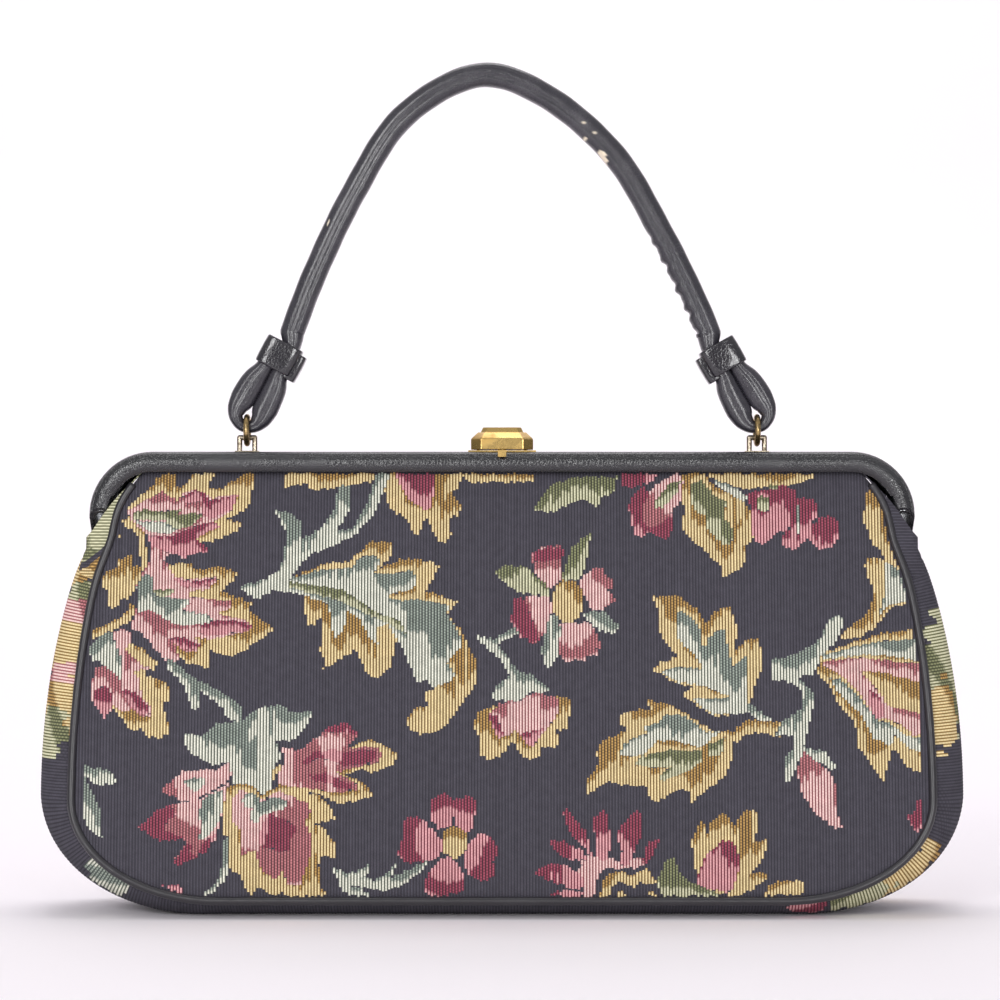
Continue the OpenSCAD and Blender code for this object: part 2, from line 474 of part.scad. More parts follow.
// Sage fields: stems, calyxes and the grey-green hearts of the leaves
sage_left = [
    [[392, 362], [498, 365], [528, 380], [507, 401], [467, 398], [431, 392]],
    [[404, 609], [401, 561], [425, 525], [446, 525], [452, 579], [498, 597], [561, 603], [567, 615],
        [537, 633], [618, 651], [633, 664], [618, 676], [573, 682], [519, 679], [440, 633], [410, 642]],
    [[277, 727], [302, 706], [329, 706], [362, 790], [362, 851], [296, 790], [265, 781], [262, 748]],
    [[492, 781], [510, 784], [579, 844], [670, 887], [724, 926], [727, 977], [679, 959], [664, 926],
        [603, 881], [591, 938], [573, 932], [552, 863], [498, 808]],
    [[817, 326], [875, 347], [899, 368], [899, 422], [959, 386], [1001, 320], [1007, 271], [1025, 250],
        [1044, 256], [1050, 320], [1007, 392], [1050, 392], [1092, 326], [1128, 214], [1170, 214],
        [1116, 350], [1056, 410], [923, 467], [857, 549], [766, 603], [712, 567], [796, 543], [838, 507],
        [857, 407]],
    [[790, 567], [941, 516], [1056, 504], [1068, 483], [1092, 470], [1122, 470], [1140, 489], [1122, 522],
        [1182, 525], [1231, 513], [1252, 537], [1243, 567], [1161, 594], [1206, 609], [1252, 603],
        [1351, 621], [1339, 648], [1378, 700], [1387, 739], [1342, 799], [1366, 829], [1357, 851],
        [1327, 863], [1297, 863], [1279, 844], [1252, 851], [1206, 748], [1158, 676], [1131, 688],
        [1134, 739], [1110, 724], [1080, 664], [1041, 639], [1031, 694], [1001, 724], [983, 618],
        [893, 585]],
    [[552, 1013], [609, 1016], [651, 977], [724, 974], [766, 938], [799, 929], [838, 926], [869, 941],
        [941, 947], [893, 1019], [869, 1031], [829, 1028], [844, 1077], [817, 1122], [814, 1176],
        [793, 1194], [742, 1155], [718, 1164], [697, 1149], [691, 1089], [645, 1104], [567, 1062],
        [552, 1038]],
    [[609, 1206], [670, 1176], [676, 1191], [664, 1267], [618, 1327], [597, 1321], [612, 1285],
        [597, 1252]],
    [[549, 1152], [591, 1140], [621, 1146], [609, 1170], [585, 1182]],
    [[724, 1206], [748, 1182], [775, 1191], [784, 1215], [829, 1197], [863, 1206], [857, 1237], [790, 1252],
        [772, 1282], [754, 1261], [760, 1231], [739, 1231]],
    [[591, 1493], [618, 1487], [664, 1442], [676, 1327], [688, 1321], [691, 1418], [676, 1448], [627, 1499],
        [594, 1505]],
    [[998, 1405], [1041, 1427], [1071, 1424], [1113, 1399], [1110, 1418], [1086, 1436], [1122, 1448],
        [1152, 1436], [1191, 1399], [1176, 1442], [1282, 1390], [1279, 1411], [1206, 1460], [1161, 1475],
        [1056, 1460], [1050, 1478], [1031, 1478]],
    [[1044, 1463], [1080, 1469], [1131, 1505], [1044, 1505]],
    [[230, 1080], [270, 1110], [330, 1120], [350, 1155], [290, 1160], [252, 1132], [300, 1230], [310, 1320],
        [260, 1280], [230, 1200]],
];
sage_right = [
    [[145, 648], [166, 657], [178, 694], [169, 769], [142, 817], [124, 790], [118, 754]],
    [[241, 651], [271, 639], [308, 642], [359, 691], [332, 703], [296, 697]],
    [[-81, 715], [-24, 724], [36, 691], [48, 703], [-12, 739], [45, 820], [97, 835], [139, 875], [121, 890],
        [90, 881], [48, 914], [-30, 902], [-18, 863], [24, 835], [-6, 784]],
    [[639, 235], [724, 271], [754, 296], [730, 302], [651, 253]],
    [[890, 317], [905, 311], [905, 404], [890, 401]],
    [[1164, 489], [1194, 501], [1212, 531], [1231, 603], [1170, 621], [1140, 651], [1158, 588]],
    [[814, 784], [857, 778], [935, 745], [959, 724], [989, 664], [1013, 648], [1034, 667], [1013, 724],
        [965, 769], [941, 826], [890, 838], [935, 884], [938, 920], [905, 1050], [971, 1062], [1004, 1110],
        [983, 1113], [905, 1062], [857, 1158], [844, 1140], [844, 1092], [875, 1050], [878, 1010],
        [820, 1016], [838, 977], [899, 935], [908, 905], [899, 875], [875, 857], [838, 844], [814, 851]],
    [[525, 639], [549, 639], [594, 682], [609, 760], [621, 724], [645, 700], [670, 694], [694, 808],
        [736, 772], [736, 914], [814, 971], [772, 971], [742, 947], [633, 950], [573, 905], [688, 899],
        [618, 869], [519, 851], [489, 832], [483, 820], [528, 808], [603, 814], [585, 778], [531, 724]],
    [[422, 986], [467, 980], [489, 953], [519, 950], [555, 959], [609, 1004], [657, 1004], [597, 1050],
        [519, 1031], [467, 1031], [422, 1074], [386, 1077], [356, 1071], [362, 1044], [398, 1019],
        [437, 1010]],
    [[971, 769], [1146, 727], [1273, 724], [1279, 796], [1176, 772], [1101, 769], [971, 784]],
    [[989, 844], [1019, 844], [1056, 875], [1134, 971], [1158, 971], [1221, 1016], [1261, 1019],
        [1294, 1041], [1294, 1071], [1231, 1056], [1182, 1013], [1170, 1047], [1116, 1019], [1080, 950],
        [1010, 881]],
];
// Olive fields: the green leaves
olive_left = [
    [[386, 338], [422, 326], [452, 335], [537, 326], [519, 347], [573, 335], [603, 344], [558, 383],
        [519, 386], [483, 362], [392, 359]],
    [[446, 573], [516, 573], [507, 591], [467, 594]],
    [[860, 549], [1025, 573], [1122, 639], [1200, 670], [1218, 706], [1025, 609], [866, 567]],
];
olive_right = [
    [[181, 534], [211, 446], [271, 395], [253, 501], [235, 537], [190, 552]],
    [[-24, 522], [0, 504], [66, 504], [136, 558], [145, 594], [45, 579]],
    [[467, 299], [513, 244], [543, 241], [531, 277], [486, 323], [467, 323]],
    [[573, 247], [609, 238], [645, 287], [682, 302], [670, 362], [694, 368], [703, 407], [694, 434],
        [670, 437], [615, 380], [621, 344], [591, 338], [573, 302]],
    [[772, 293], [793, 284], [814, 296], [814, 329], [793, 338], [775, 326]],
    [[808, 253], [832, 250], [844, 262], [820, 268]],
    [[422, 1077], [507, 1056], [603, 1062], [597, 1092], [573, 1116], [483, 1152], [470, 1134], [507, 1110],
        [422, 1110], [398, 1098]],
    [[621, 1041], [670, 1019], [667, 1056], [645, 1080], [621, 1074]],
    [[461, 1454], [486, 1396], [513, 1378], [531, 1424], [555, 1448], [645, 1484], [639, 1502], [507, 1502],
        [477, 1484]],
    [[95, 330], [150, 252], [230, 228], [350, 228], [345, 270], [300, 290], [290, 320], [240, 292],
        [150, 335]],
];
// Gold flower hearts as [x, y, radius across, radius up] on the right sheet
gold_hearts = [[199, 609, 48, 64], [-142, 1333, 40, 45]];

// Every point of an outline, or each second one of a long outline for the plainer rear panel
function thinned(list, skip) = [for (i = [0 : len(list) < 7 ? 1 : skip : len(list) - 1]) list[i]];

module fields(left, right, skip) {
    for (list = left) polygon(left_sheet(thinned(list, skip)));
    for (list = right) polygon(right_sheet(thinned(list, skip)));
}

module hearts() {
    for (h = gold_hearts) {
        translate(right_sheet([h])[0]) scale([h[2] * draft_pitch, h[3] * draft_pitch]) circle(1, $fn = 24);
    }
}

// One colour of the woven fields, cut to the panel and cleared of the colours woven over it
module woven(level, skip = 1) {
    place_panel() linear_extrude(weave_t) intersection() {
        panel_shape(piping_r + 0.5, 1.2);
        difference() {
            union() {
                if (level == 0) fields(gold_left, gold_right, skip);
                if (level == 1) fields(rose_left, rose_right, skip);
                if (level == 2) fields(crimson_left, crimson_right, skip);
                if (level == 3) fields(sage_left, sage_right, skip);
                if (level == 4) fields(olive_left, olive_right, skip);
            }
            if (level < 1) fields(rose_left, rose_right, skip);
            if (level < 2) fields(crimson_left, crimson_right, skip);
            if (level < 3) fields(sage_left, sage_right, skip);
            if (level < 4) fields(olive_left, olive_right, skip);
            hearts();
        }
    }
    if (level == 0) place_panel() linear_extrude(weave_t) hearts();
}

module front_gold_weave() {
    color("#b8975a") woven(0);
}

module front_rose_weave() {
    color("#a8676b") woven(1);
}

module front_crimson_weave() {
    color("#7d2f40") woven(2);
}

module front_sage_weave() {
    color("#8a9182") woven(3);
}

module front_olive_weave() {
    color("#6d7048") woven(4);
}

module rear_gold_weave() {
    color("#b8975a") rotate([0, 0, 180]) woven(0, 2);
}

module rear_rose_weave() {
    color("#a8676b") rotate([0, 0, 180]) woven(1, 2);
}

module rear_crimson_weave() {
    color("#7d2f40") rotate([0, 0, 180]) woven(2, 2);
}

module rear_sage_weave() {
    color("#8a9182") rotate([0, 0, 180]) woven(3, 2);
}

module rear_olive_weave() {
    color("#6d7048") rotate([0, 0, 180]) woven(4, 2);
}

// Sections of a frame half: a top wall, a short wall at the meeting face and a rolled front with an inner lip
module bar_section(shell, depth_in, low_back, low_front) {
    out = roll_r - depth_in;
    top = bar_h - depth_in;
    translate([top - shell, depth_in]) square([shell, roll_q - depth_in]);
    translate([low_back, depth_in]) square([top - low_back, shell]);
    intersection() {
        difference() {
            translate([roll_p, roll_q]) circle(out);
            translate([roll_p, roll_q]) circle(out - shell);
        }
        translate([low_front, roll_q]) square([bar_h, half_depth]);
    }
}

module cover_section() {
    groove_t = 46;
    difference() {
        bar_section(cover_t, 0, back_lip, 0);
        translate([roll_p + roll_r * sin(groove_t), roll_q + roll_r * cos(groove_t)]) circle(groove_r, $fn = 16);
    }
}

module channel_section() {
    bar_section(channel_t, cover_t + fit_gap, back_lip, steel_lip);
}

// One frame half lying down: x across the bag, y up, z forwards from the meeting face
module frame_half() {
    translate([-bar_half, inner_z, 0]) rotate([90, 0, 90]) linear_extrude(2 * bar_half) children();
    for (side = [0, 1]) mirror([side, 0, 0]) {
        translate([bar_half, corner_z, 0]) rotate_extrude(angle = 90) translate([corner_in, 0]) children();
        translate([bar_half + corner_in, corner_z, 0]) rotate([90, 0, 0])
            linear_extrude(corner_z - arm_end_z) children();
    }
}

// Cuts that narrow the arms towards the hinge
module arm_cuts() {
    for (side = [0, 1]) mirror([side, 0, 0]) {
        translate([0, 0, -1]) linear_extrude(half_depth + 2)
            polygon([[half_w - 7.4, corner_z + 6.5], [half_w - 3.4, hinge_z + 2.5], [half_w - 3.4, hinge_z - 5],
                [bar_half, hinge_z - 5], [bar_half, corner_z + 6.5]]);
        translate([half_w - 12, 0, 0]) rotate([90, 0, 90]) linear_extrude(14)
            polygon([[hinge_z + 3, 1.7], [hinge_z + 12, half_depth], [hinge_z + 12, half_depth + 1],
                [hinge_z - 5, half_depth + 1], [hinge_z - 5, 1.7]]);
    }
}

module stand_front() {
    translate([0, -half_y, 0]) rotate([90, 0, 0]) children();
}

module cover() {
    stand_front() difference() {
        frame_half() cover_section();
        arm_cuts();
    }
}

// Hinge tab of an arm, between two distances from the bag's middle
module hinge_tab(from_x, to_x) {
    translate([from_x, 0, 0]) rotate([90, 0, 90]) linear_extrude(to_x - from_x) difference() {
        union() {
            translate([hinge_z, -half_y]) circle(tab_r);
            polygon([[hinge_z - 2, 2.2], [hinge_z + 2.4, -1.9], [hinge_z + 4.4, 1.3], [hinge_z + 10, 1.3],
                [hinge_z + 12, 5.4], [hinge_z + 8, 5.4]]);
        }
        translate([hinge_z, -half_y]) circle(rivet_d / 2 + pin_fit);
    }
}

module channel(tab_x) {
    stand_front() {
        difference() {
            frame_half() channel_section();
            arm_cuts();
        }
        for (side = [0, 1]) mirror([side, 0, 0]) {
            hinge_tab(tab_x - channel_t, tab_x);
            translate([tab_x - channel_t, hinge_z + 8.5, 2.4]) cube([wall_x - tab_x + channel_t, 2.5, 2.6]);
        }
    }
}

module front_cover() {
    color("#1d1c1f") cover();
}

module rear_cover() {
    color("#1d1c1f") mirror([0, 1, 0]) cover();
}

module front_channel() {
    color("#8d9093") channel(wall_x);
}

module rear_channel() {
    color("#8d9093") mirror([0, 1, 0]) channel(wall_x - channel_t - move_gap);
}

// Hinge rivet through both tabs, headed at both ends
module rivet() {
    head_r = rivet_d / 2 + rivet_head;
    translate([0, 0, hinge_z]) rotate([0, 90, 0]) {
        translate([0, 0, rivet_in]) cylinder(h = rivet_head, r = head_r);
        translate([0, 0, rivet_low - eps]) cylinder(h = wall_x + move_gap - rivet_low + 2 * eps, r = rivet_d / 2);
        translate([0, 0, wall_x + move_gap]) cylinder(h = rivet_head, r = head_r);
    }
}

module right_rivet() {
    color("#8d9093") rivet();
}

module left_rivet() {
    color("#8d9093") mirror([1, 0, 0]) rivet();
}

// Staple: a square wire arch on a foot, over the bottom of the ring
module staple() {
    foot_t = 0.5;
    translate([ring_x, staple_y, 0]) {
        translate([-staple_half - 1.5, -1.8, frame_top]) cube([2 * staple_half + 3, 3.6, foot_t]);
        for (side = [-1, 1]) translate([side * staple_half, 0, frame_top + foot_t - eps])
            cylinder(h = rim_z - frame_top - foot_t + eps, r = rim_r);
        for (side = [-1, 1]) translate([side * staple_half, 0, rim_z]) sphere(rim_r);
        translate([-staple_half, 0, rim_z]) rotate([0, 90, 0]) cylinder(h = 2 * staple_half, r = rim_r);
    }
}

module right_staple() {
    color("#b9a684") staple();
}

module left_staple() {
    color("#b9a684") mirror([1, 0, 0]) staple();
}

module ring() {
    translate([ring_x, staple_y, ring_z]) rotate([0, 90, 0]) rotate_extrude() translate([ring_r, 0])
        circle(wire_r, $fn = 24);
}

module right_ring() {
    color("#b08d4e") ring();
}

module left_ring() {
    color("#b08d4e") mirror([1, 0, 0]) ring();
}

// Strap: control points hold [x, z, half width, half depth]; each end folds down, round its ring and up again
function end_point(side, lean, a, c) = [side * (ring_x - a * sin(lean) + c * cos(lean)),
    loop_z + a * cos(lean) + c * sin(lean)];
// One end from the run of the strap down and round its ring to the folded tip
fold = [[33, 0, 1, 1], [30.5, -1.4, 0.85, 1], [27, -2.7, 0.61, 0.95], [22, -2.75, 0.6, 0.93],
    [17.5, -2.9, 0.62, 0.9], [13, -4.5, 0.74, 0.88], [8.5, -5, 0.76, 0.85], [4, -4.7, 0.68, 0.8],
    [0, -3.4, 0.47, 0.74], [-2.4, -2.4, 0.45, 0.7], [-3.4, 0, 0.45, 0.7], [-2.4, 2.4, 0.45, 0.7],
    [0, 3.4, 0.47, 0.74], [4, 4.7, 0.68, 0.8], [8.5, 5, 0.76, 0.85], [13, 4.5, 0.74, 0.88],
    [17.5, 2.9, 0.62, 0.9], [22, 2.75, 0.6, 0.93], [26.4, 2.75, 0.6, 0.93]];
function end_line(side, lean) = [for (f = fold) let (p = end_point(side, lean, f[0], f[1]))
    [p.x, p.y, f[2] * strap_w / 2, f[3] * strap_d / 2]];
// The arch as shares of the ring distance and of the rise, higher on the left than on the right
arch = [[-0.731, 0.426], [-0.583, 0.656], [-0.389, 0.878], [-0.097, 1], [0.171, 0.94], [0.44, 0.767],
    [0.623, 0.541], [0.749, 0.353]];
arch_line = [for (p = arch) [p.x * ring_x, loop_z + p.y * strap_rise, strap_w / 2, strap_d / 2]];
function turned(list) = [for (i = [len(list) - 1 : -1 : 0]) list[i]];

module handle_strap() {
    line = concat(smooth_line(turned(end_line(-1, left_lean)), 2),
        [for (p = smooth_line(concat([end_line(-1, left_lean)[0]], arch_line, [end_line(1, right_lean)[0]]), 5))
            if (p.x > end_line(-1, left_lean)[0].x + 0.5 && p.x < end_line(1, right_lean)[0].x - 0.5) p],
        smooth_line(end_line(1, right_lean), 2));
    n = len(line);
    sides = 12;
    crease = 0.88;
    color("#1c1a1d") tube([for (i = [0 : n - 1]) let (a = line[max(i - 1, 0)], b = line[min(i + 1, n - 1)],
        d = [b.x - a.x, b.y - a.y] / norm([b.x - a.x, b.y - a.y]), out = [-d.y, d.x], p = line[i])
        [for (k = [0 : sides - 1]) let (t = 360 * k / sides, r = k % 6 == 3 ? crease : 1)
            [p.x + out.x * p[2] * cos(t), staple_y + p[3] * r * sin(t), p.y + out.y * p[2] * cos(t)]]]);
}

// Keeper: a vinyl band round the two strands, with its overlapped end in front
module band_shape(w, h, r) {
    square([w - 2 * r, h], center = true);
    square([w, h - 2 * r], center = true);
    for (x = [-1, 1], y = [-1, 1]) translate([x * (w / 2 - r), y * (h / 2 - r)]) circle(r, $fn = 24);
}

module keeper(side, lean) {
    mid = end_point(side, lean, keeper_mid, 0);
    wall = 1.1;
    translate([mid.x, staple_y, mid.y]) rotate([0, -side * lean, 0]) {
        translate([0, 0, -keeper_h / 2]) linear_extrude(keeper_h) difference() {
            band_shape(keeper_w, keeper_d, 2);
            band_shape(keeper_w - 2 * wall, keeper_d - 2 * wall, 1);
        }
        translate([-side * keeper_w * 0.3 - 1.6, -keeper_d / 2 - 0.5, -keeper_h / 2 + 0.5])
            cube([3.2, 0.5 + eps, keeper_h - 1]);
    }
}

module left_keeper() {
    color("#121113") keeper(-1, left_lean);
}

module right_keeper() {
    color("#121113") keeper(1, right_lean);
}

// Clasp base: a plate on the rear half with two ears for the pin
module clasp_base() {
    ear_t = 1;
    ear_x = clasp_w / 2 - 3;
    color("#c9a548") translate([0, 0, frame_top]) difference() {
        union() {
            translate([-plate_half, half_y + 0.4, 0]) cube([2 * plate_half, pin_y + 1.8 - half_y - 0.4, plate_t]);
            for (side = [0, 1]) mirror([side, 0, 0]) {
                translate([ear_x, pin_y, pin_z]) rotate([0, 90, 0]) cylinder(h = ear_t, r = ear_r);
                translate([ear_x, pin_y - ear_r, plate_t - eps]) cube([ear_t, 2 * ear_r, pin_z - plate_t + eps]);
            }
        }
        translate([-plate_half, pin_y, pin_z]) rotate([0, 90, 0]) cylinder(h = 2 * plate_half, r = pin_r + pin_fit);
    }
}

module clasp_pin() {
    pin_half = clasp_w / 2 - 1.6;
    color("#c9a548") translate([-pin_half, pin_y, frame_top + pin_z]) rotate([0, 90, 0])
        cylinder(h = 2 * pin_half, r = pin_r);
}

// Spring: closed coils on the middle of the pin, with one leg on the base
module clasp_spring() {
    turns = 7;
    coil = 0.7;
    near = pin_r + 0.12;
    far = ear_r - 0.02;
    coil_half = turns * coil / 2;
    edge = [for (i = [0 : turns - 1]) each [[far - 0.25, i * coil], [far, (i + 0.5) * coil]]];
    color("#9a9da0") translate([0, pin_y, frame_top + pin_z]) {
        rotate([0, 90, 0]) translate([0, 0, -coil_half]) rotate_extrude()
            polygon(concat([[near, 0]], edge, [[far - 0.25, turns * coil], [near, turns * coil]]));
        translate([-0.25, 0, -far + 0.05]) cube([0.5, ear_r + 0.2, 0.5]);
    }
}

// Lever: a faceted hollow cap with a raised table, hinged behind
function eight(w, d, c, z) = [[w, d - c, z], [w - c, d, z], [c - w, d, z], [-w, d - c, z], [-w, c - d, z],
    [c - w, -d, z], [w - c, -d, z], [w, c - d, z]];

module clasp_lever() {
    w = clasp_w / 2;
    d = clasp_d / 2;
    k = clasp_h / 8.4;
    t = lever_wall;
    color("#c9a548") translate([0, 0, frame_top]) {
        tube([eight(w - 3, d - 3.9, 1.9, 5.8 * k), eight(w - t, d - t, 3, 3.9 * k),
            eight(w - t, d - t, 3, lever_low), eight(w, d, 3.4, lever_low), eight(w, d, 3.4, 4.3 * k),
            eight(w - 0.5, d - 0.5, 3.2, 4.9 * k), eight(w - 2.4, d - 3.3, 2.2, 6.7 * k),
            eight(w - 3.3, d - 3.8, 1.8, 6.7 * k), eight(w - 4.1, d - 4.5, 1.5, clasp_h)]);
        for (side = [0, 1]) mirror([side, 0, 0]) difference() {
            union() {
                translate([2.8, pin_y, pin_z]) rotate([0, 90, 0]) cylinder(h = w - 6.2, r = ear_r);
                translate([2.8, d - t / 2, pin_z - 0.7]) cube([w - 6.2, pin_y - d + t / 2, 1.4]);
            }
            translate([0, pin_y, pin_z]) rotate([0, 90, 0]) cylinder(h = clasp_w, r = pin_r + pin_fit);
        }
    }
}

// Catch: a plate on the front half with a nub under the lever and a tongue bent down over the roll
module clasp_catch() {
    lip_y = half_y + half_depth + 0.15;
    color("#c9a548") translate([0, 0, frame_top]) {
        translate([-plate_half, -half_y - roll_q, 0]) cube([2 * plate_half, roll_q - 0.4, plate_t]);
        translate([0, -half_y - 1.9, plate_t - eps]) cylinder(h = 0.5, r = 1.2);
        translate([-1.4, -lip_y, 0]) cube([2.8, lip_y - half_y - 1, plate_t]);
        translate([-1.4, -lip_y - 0.5, -1.8]) cube([2.8, 0.5 + eps, plate_t + 1.8]);
    }
}

rear_channel();
rear_cover();
front_channel();
front_cover();
left_rivet();
right_rivet();
front_panel();
rear_panel();
gusset();
front_piping();
rear_piping();
lining();
base_board();
front_gold_weave();
front_rose_weave();
front_crimson_weave();
front_sage_weave();
front_olive_weave();
rear_gold_weave();
rear_rose_weave();
rear_crimson_weave();
rear_sage_weave();
rear_olive_weave();
left_staple();
right_staple();
left_ring();
right_ring();
handle_strap();
left_keeper();
right_keeper();
clasp_base();
clasp_pin();
clasp_spring();
clasp_lever();
clasp_catch();
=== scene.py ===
import math

import bmesh
import bpy
import numpy as np
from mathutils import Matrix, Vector


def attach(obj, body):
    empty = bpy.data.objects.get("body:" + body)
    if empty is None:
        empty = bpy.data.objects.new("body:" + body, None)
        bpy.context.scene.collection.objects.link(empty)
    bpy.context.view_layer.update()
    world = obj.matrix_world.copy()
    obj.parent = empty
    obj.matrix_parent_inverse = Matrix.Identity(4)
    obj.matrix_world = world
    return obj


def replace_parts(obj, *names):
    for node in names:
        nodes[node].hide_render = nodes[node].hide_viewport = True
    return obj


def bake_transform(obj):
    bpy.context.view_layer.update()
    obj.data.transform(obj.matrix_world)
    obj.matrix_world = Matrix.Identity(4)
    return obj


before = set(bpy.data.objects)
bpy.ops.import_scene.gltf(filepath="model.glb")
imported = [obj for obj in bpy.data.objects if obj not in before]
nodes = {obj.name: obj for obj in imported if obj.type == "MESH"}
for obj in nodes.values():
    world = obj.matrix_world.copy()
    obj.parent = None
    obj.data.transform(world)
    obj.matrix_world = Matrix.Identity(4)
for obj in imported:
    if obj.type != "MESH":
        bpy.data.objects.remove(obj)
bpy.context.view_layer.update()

# Frame steel: two bent channels that carry the mouth of the bag, hinged at their arm ends on headed rivets.
# Plain mild steel, folded in a press and left bright, a little dulled where the vinyl doesn't cover it.
MM = 0.001


def linear(red, green, blue):
    """A colour written as 0 to 255 on a screen, as the shader's numbers."""
    shares = [x / 255 for x in (red, green, blue)]
    return tuple(x / 12.92 if x <= 0.04045 else ((x + 0.055) / 1.055) ** 2.4 for x in shares) + (1.0,)


def add(tree, kind, inputs=None, **settings):
    """A node of that kind, with its settings, and with its inputs set or linked."""
    made = tree.nodes.new("ShaderNode" + kind)
    for key, value in settings.items():
        setattr(made, key, value)
    for key, value in (inputs or {}).items():
        if isinstance(value, bpy.types.NodeSocket):
            tree.links.new(value, made.inputs[key])
        else:
            made.inputs[key].default_value = value
    return made


def reckon(tree, operation, first, second=0.0, third=0.0):
    """The output of one Math node."""
    return add(tree, "Math", {0: first, 1: second, 2: third}, operation=operation).outputs[0]


def stepped(tree, value, low, high, from_low=0.0, from_high=1.0):
    """A value taken from one range to another, with a smooth step."""
    inputs = {"Value": value, 1: from_low, 2: from_high, 3: low, 4: high}
    return add(tree, "MapRange", inputs, interpolation_type="SMOOTHSTEP").outputs[0]


def mixed(tree, share, first, second, blend="MIX"):
    """The colour output of one Mix node."""
    made = add(tree, "Mix", {0: share, 6: first, 7: second}, data_type="RGBA", blend_type=blend)
    return made.outputs[2]


def new_group(name, inputs, outputs):
    """A shader group with named sockets, and its two end nodes."""
    group = bpy.data.node_groups.new(name, "ShaderNodeTree")
    for label, kind, value in inputs:
        socket = group.interface.new_socket(label, in_out="INPUT", socket_type="NodeSocket" + kind)
        socket.default_value = value
    for label, kind in outputs:
        group.interface.new_socket(label, in_out="OUTPUT", socket_type="NodeSocket" + kind)
    return group, group.nodes.new("NodeGroupInput").outputs, group.nodes.new("NodeGroupOutput").inputs


def new_material(name, values):
    """A material, its node tree and its Principled shader with those plain values."""
    material = bpy.data.materials.new(name)
    material.use_nodes = True
    shader = material.node_tree.nodes["Principled BSDF"]
    for key, value in values.items():
        shader.inputs[key].default_value = value
    return material, material.node_tree, shader


def wire(tree, shader, group, values, bump=0.0, distance=0.0002):
    """Puts a group before a shader: its Color and Roughness go to those sockets, its Height to a bump."""
    made = add(tree, "Group", values, node_tree=group)
    if "Color" in made.outputs:
        tree.links.new(made.outputs["Color"], shader.inputs["Base Color"])
    if "Roughness" in made.outputs:
        tree.links.new(made.outputs["Roughness"], shader.inputs["Roughness"])
    if bump:
        lift = add(tree, "Bump", {"Strength": bump, "Distance": distance, "Height": made.outputs["Height"]})
        tree.links.new(lift.outputs[0], shader.inputs["Normal"])
    return made


tarnish, given, result = new_group(
    "tarnish",
    [("Bright", "Color", (1, 1, 1, 1)), ("Dull", "Color", (0, 0, 0, 1)), ("Scale", "Float", 300.0)],
    [("Color", "Color"), ("Roughness", "Float"), ("Height", "Float")],
)
place = add(tarnish, "TexCoord").outputs["Object"]
clouds = add(tarnish, "TexNoise", {"Vector": place, "Scale": given["Scale"], "Detail": 5.0}).outputs[0]
specks = add(tarnish, "TexNoise", {"Vector": place, "Scale": 2600.0, "Detail": 3.0}).outputs[0]
dullness = stepped(tarnish, clouds, 0.0, 1.0, 0.45, 0.72)
tarnish.links.new(mixed(tarnish, dullness, given["Bright"], given["Dull"]), result["Color"])
rough = reckon(tarnish, "MULTIPLY_ADD", dullness, 0.22, 0.2)
tarnish.links.new(reckon(tarnish, "MULTIPLY_ADD", specks, 0.1, rough), result["Roughness"])
tarnish.links.new(specks, result["Height"])


def metal(name, bright, dull, scale=300.0, bump=0.05):
    """A bare metal with patches of tarnish."""
    material, tree, shader = new_material(name, {"Metallic": 1.0})
    wire(tree, shader, tarnish, {"Bright": bright, "Dull": dull, "Scale": scale}, bump)
    return material


def finish_node(name, material):
    """Gives a CAD node its material."""
    mesh = nodes[name].data
    mesh.materials.clear()
    mesh.materials.append(material)


steel = metal("frame_steel", linear(176, 177, 180), linear(120, 118, 118), 140.0)
for name in ("front_channel", "rear_channel", "left_rivet", "right_rivet"):
    finish_node(name, steel)

# Frame covers: black grained vinyl glued round each channel, drawn tight over the roll.
# A fine groove is pressed along the roll, and the vinyl is slightly worn to grey in patches.
grain, given, result = new_group(
    "vinyl_grain",
    [("Color", "Color", (0.03, 0.03, 0.03, 1)), ("Worn", "Color", (0.1, 0.1, 0.1, 1)),
        ("Scale", "Float", 1500.0), ("Gloss", "Float", 0.35)],
    [("Color", "Color"), ("Roughness", "Float"), ("Height", "Float")],
)
place = add(grain, "TexCoord").outputs["Object"]
cells = add(grain, "TexVoronoi", {"Vector": place, "Scale": given["Scale"]},
    feature="DISTANCE_TO_EDGE").outputs[0]
pebbles = stepped(grain, cells, 0.0, 1.0, 0.0, 0.22)
clouds = add(grain, "TexNoise", {"Vector": place, "Scale": 60.0, "Detail": 6.0}).outputs[0]
wear = stepped(grain, clouds, 0.0, 0.5, 0.45, 0.75)
tone = mixed(grain, wear, given["Color"], given["Worn"])
# The hollows between the grain's pebbles are darkened towards black: painted shade.
valley_shaded = mixed(grain, reckon(grain, "MULTIPLY_ADD", pebbles, -0.35, 0.35), tone, (0.004, 0.004, 0.005, 1))
grain.links.new(valley_shaded, result["Color"])
soft = reckon(grain, "MULTIPLY_ADD", wear, 0.25, given["Gloss"])
grain.links.new(reckon(grain, "MULTIPLY_ADD", pebbles, -0.08, soft), result["Roughness"])
grain.links.new(reckon(grain, "MULTIPLY_ADD", clouds, 0.5, pebbles), result["Height"])


def vinyl(name, colour, worn, gloss, scale=1500.0, bump=0.12, coat=0.0):
    """A grained vinyl, with painted shade in the hollows of its grain."""
    material, tree, shader = new_material(name, {"Specular IOR Level": 0.5, "Coat Weight": coat})
    wire(tree, shader, grain, {"Color": colour, "Worn": worn, "Gloss": gloss, "Scale": scale}, bump)
    return material


cover_vinyl = vinyl("frame_vinyl", linear(17, 16, 24), linear(32, 30, 40), 0.31, 1100.0, 0.3)
cover_vinyl.node_tree.nodes["Principled BSDF"].inputs["Specular IOR Level"].default_value = 0.9
for name in ("front_cover", "rear_cover"):
    finish_node(name, cover_vinyl)
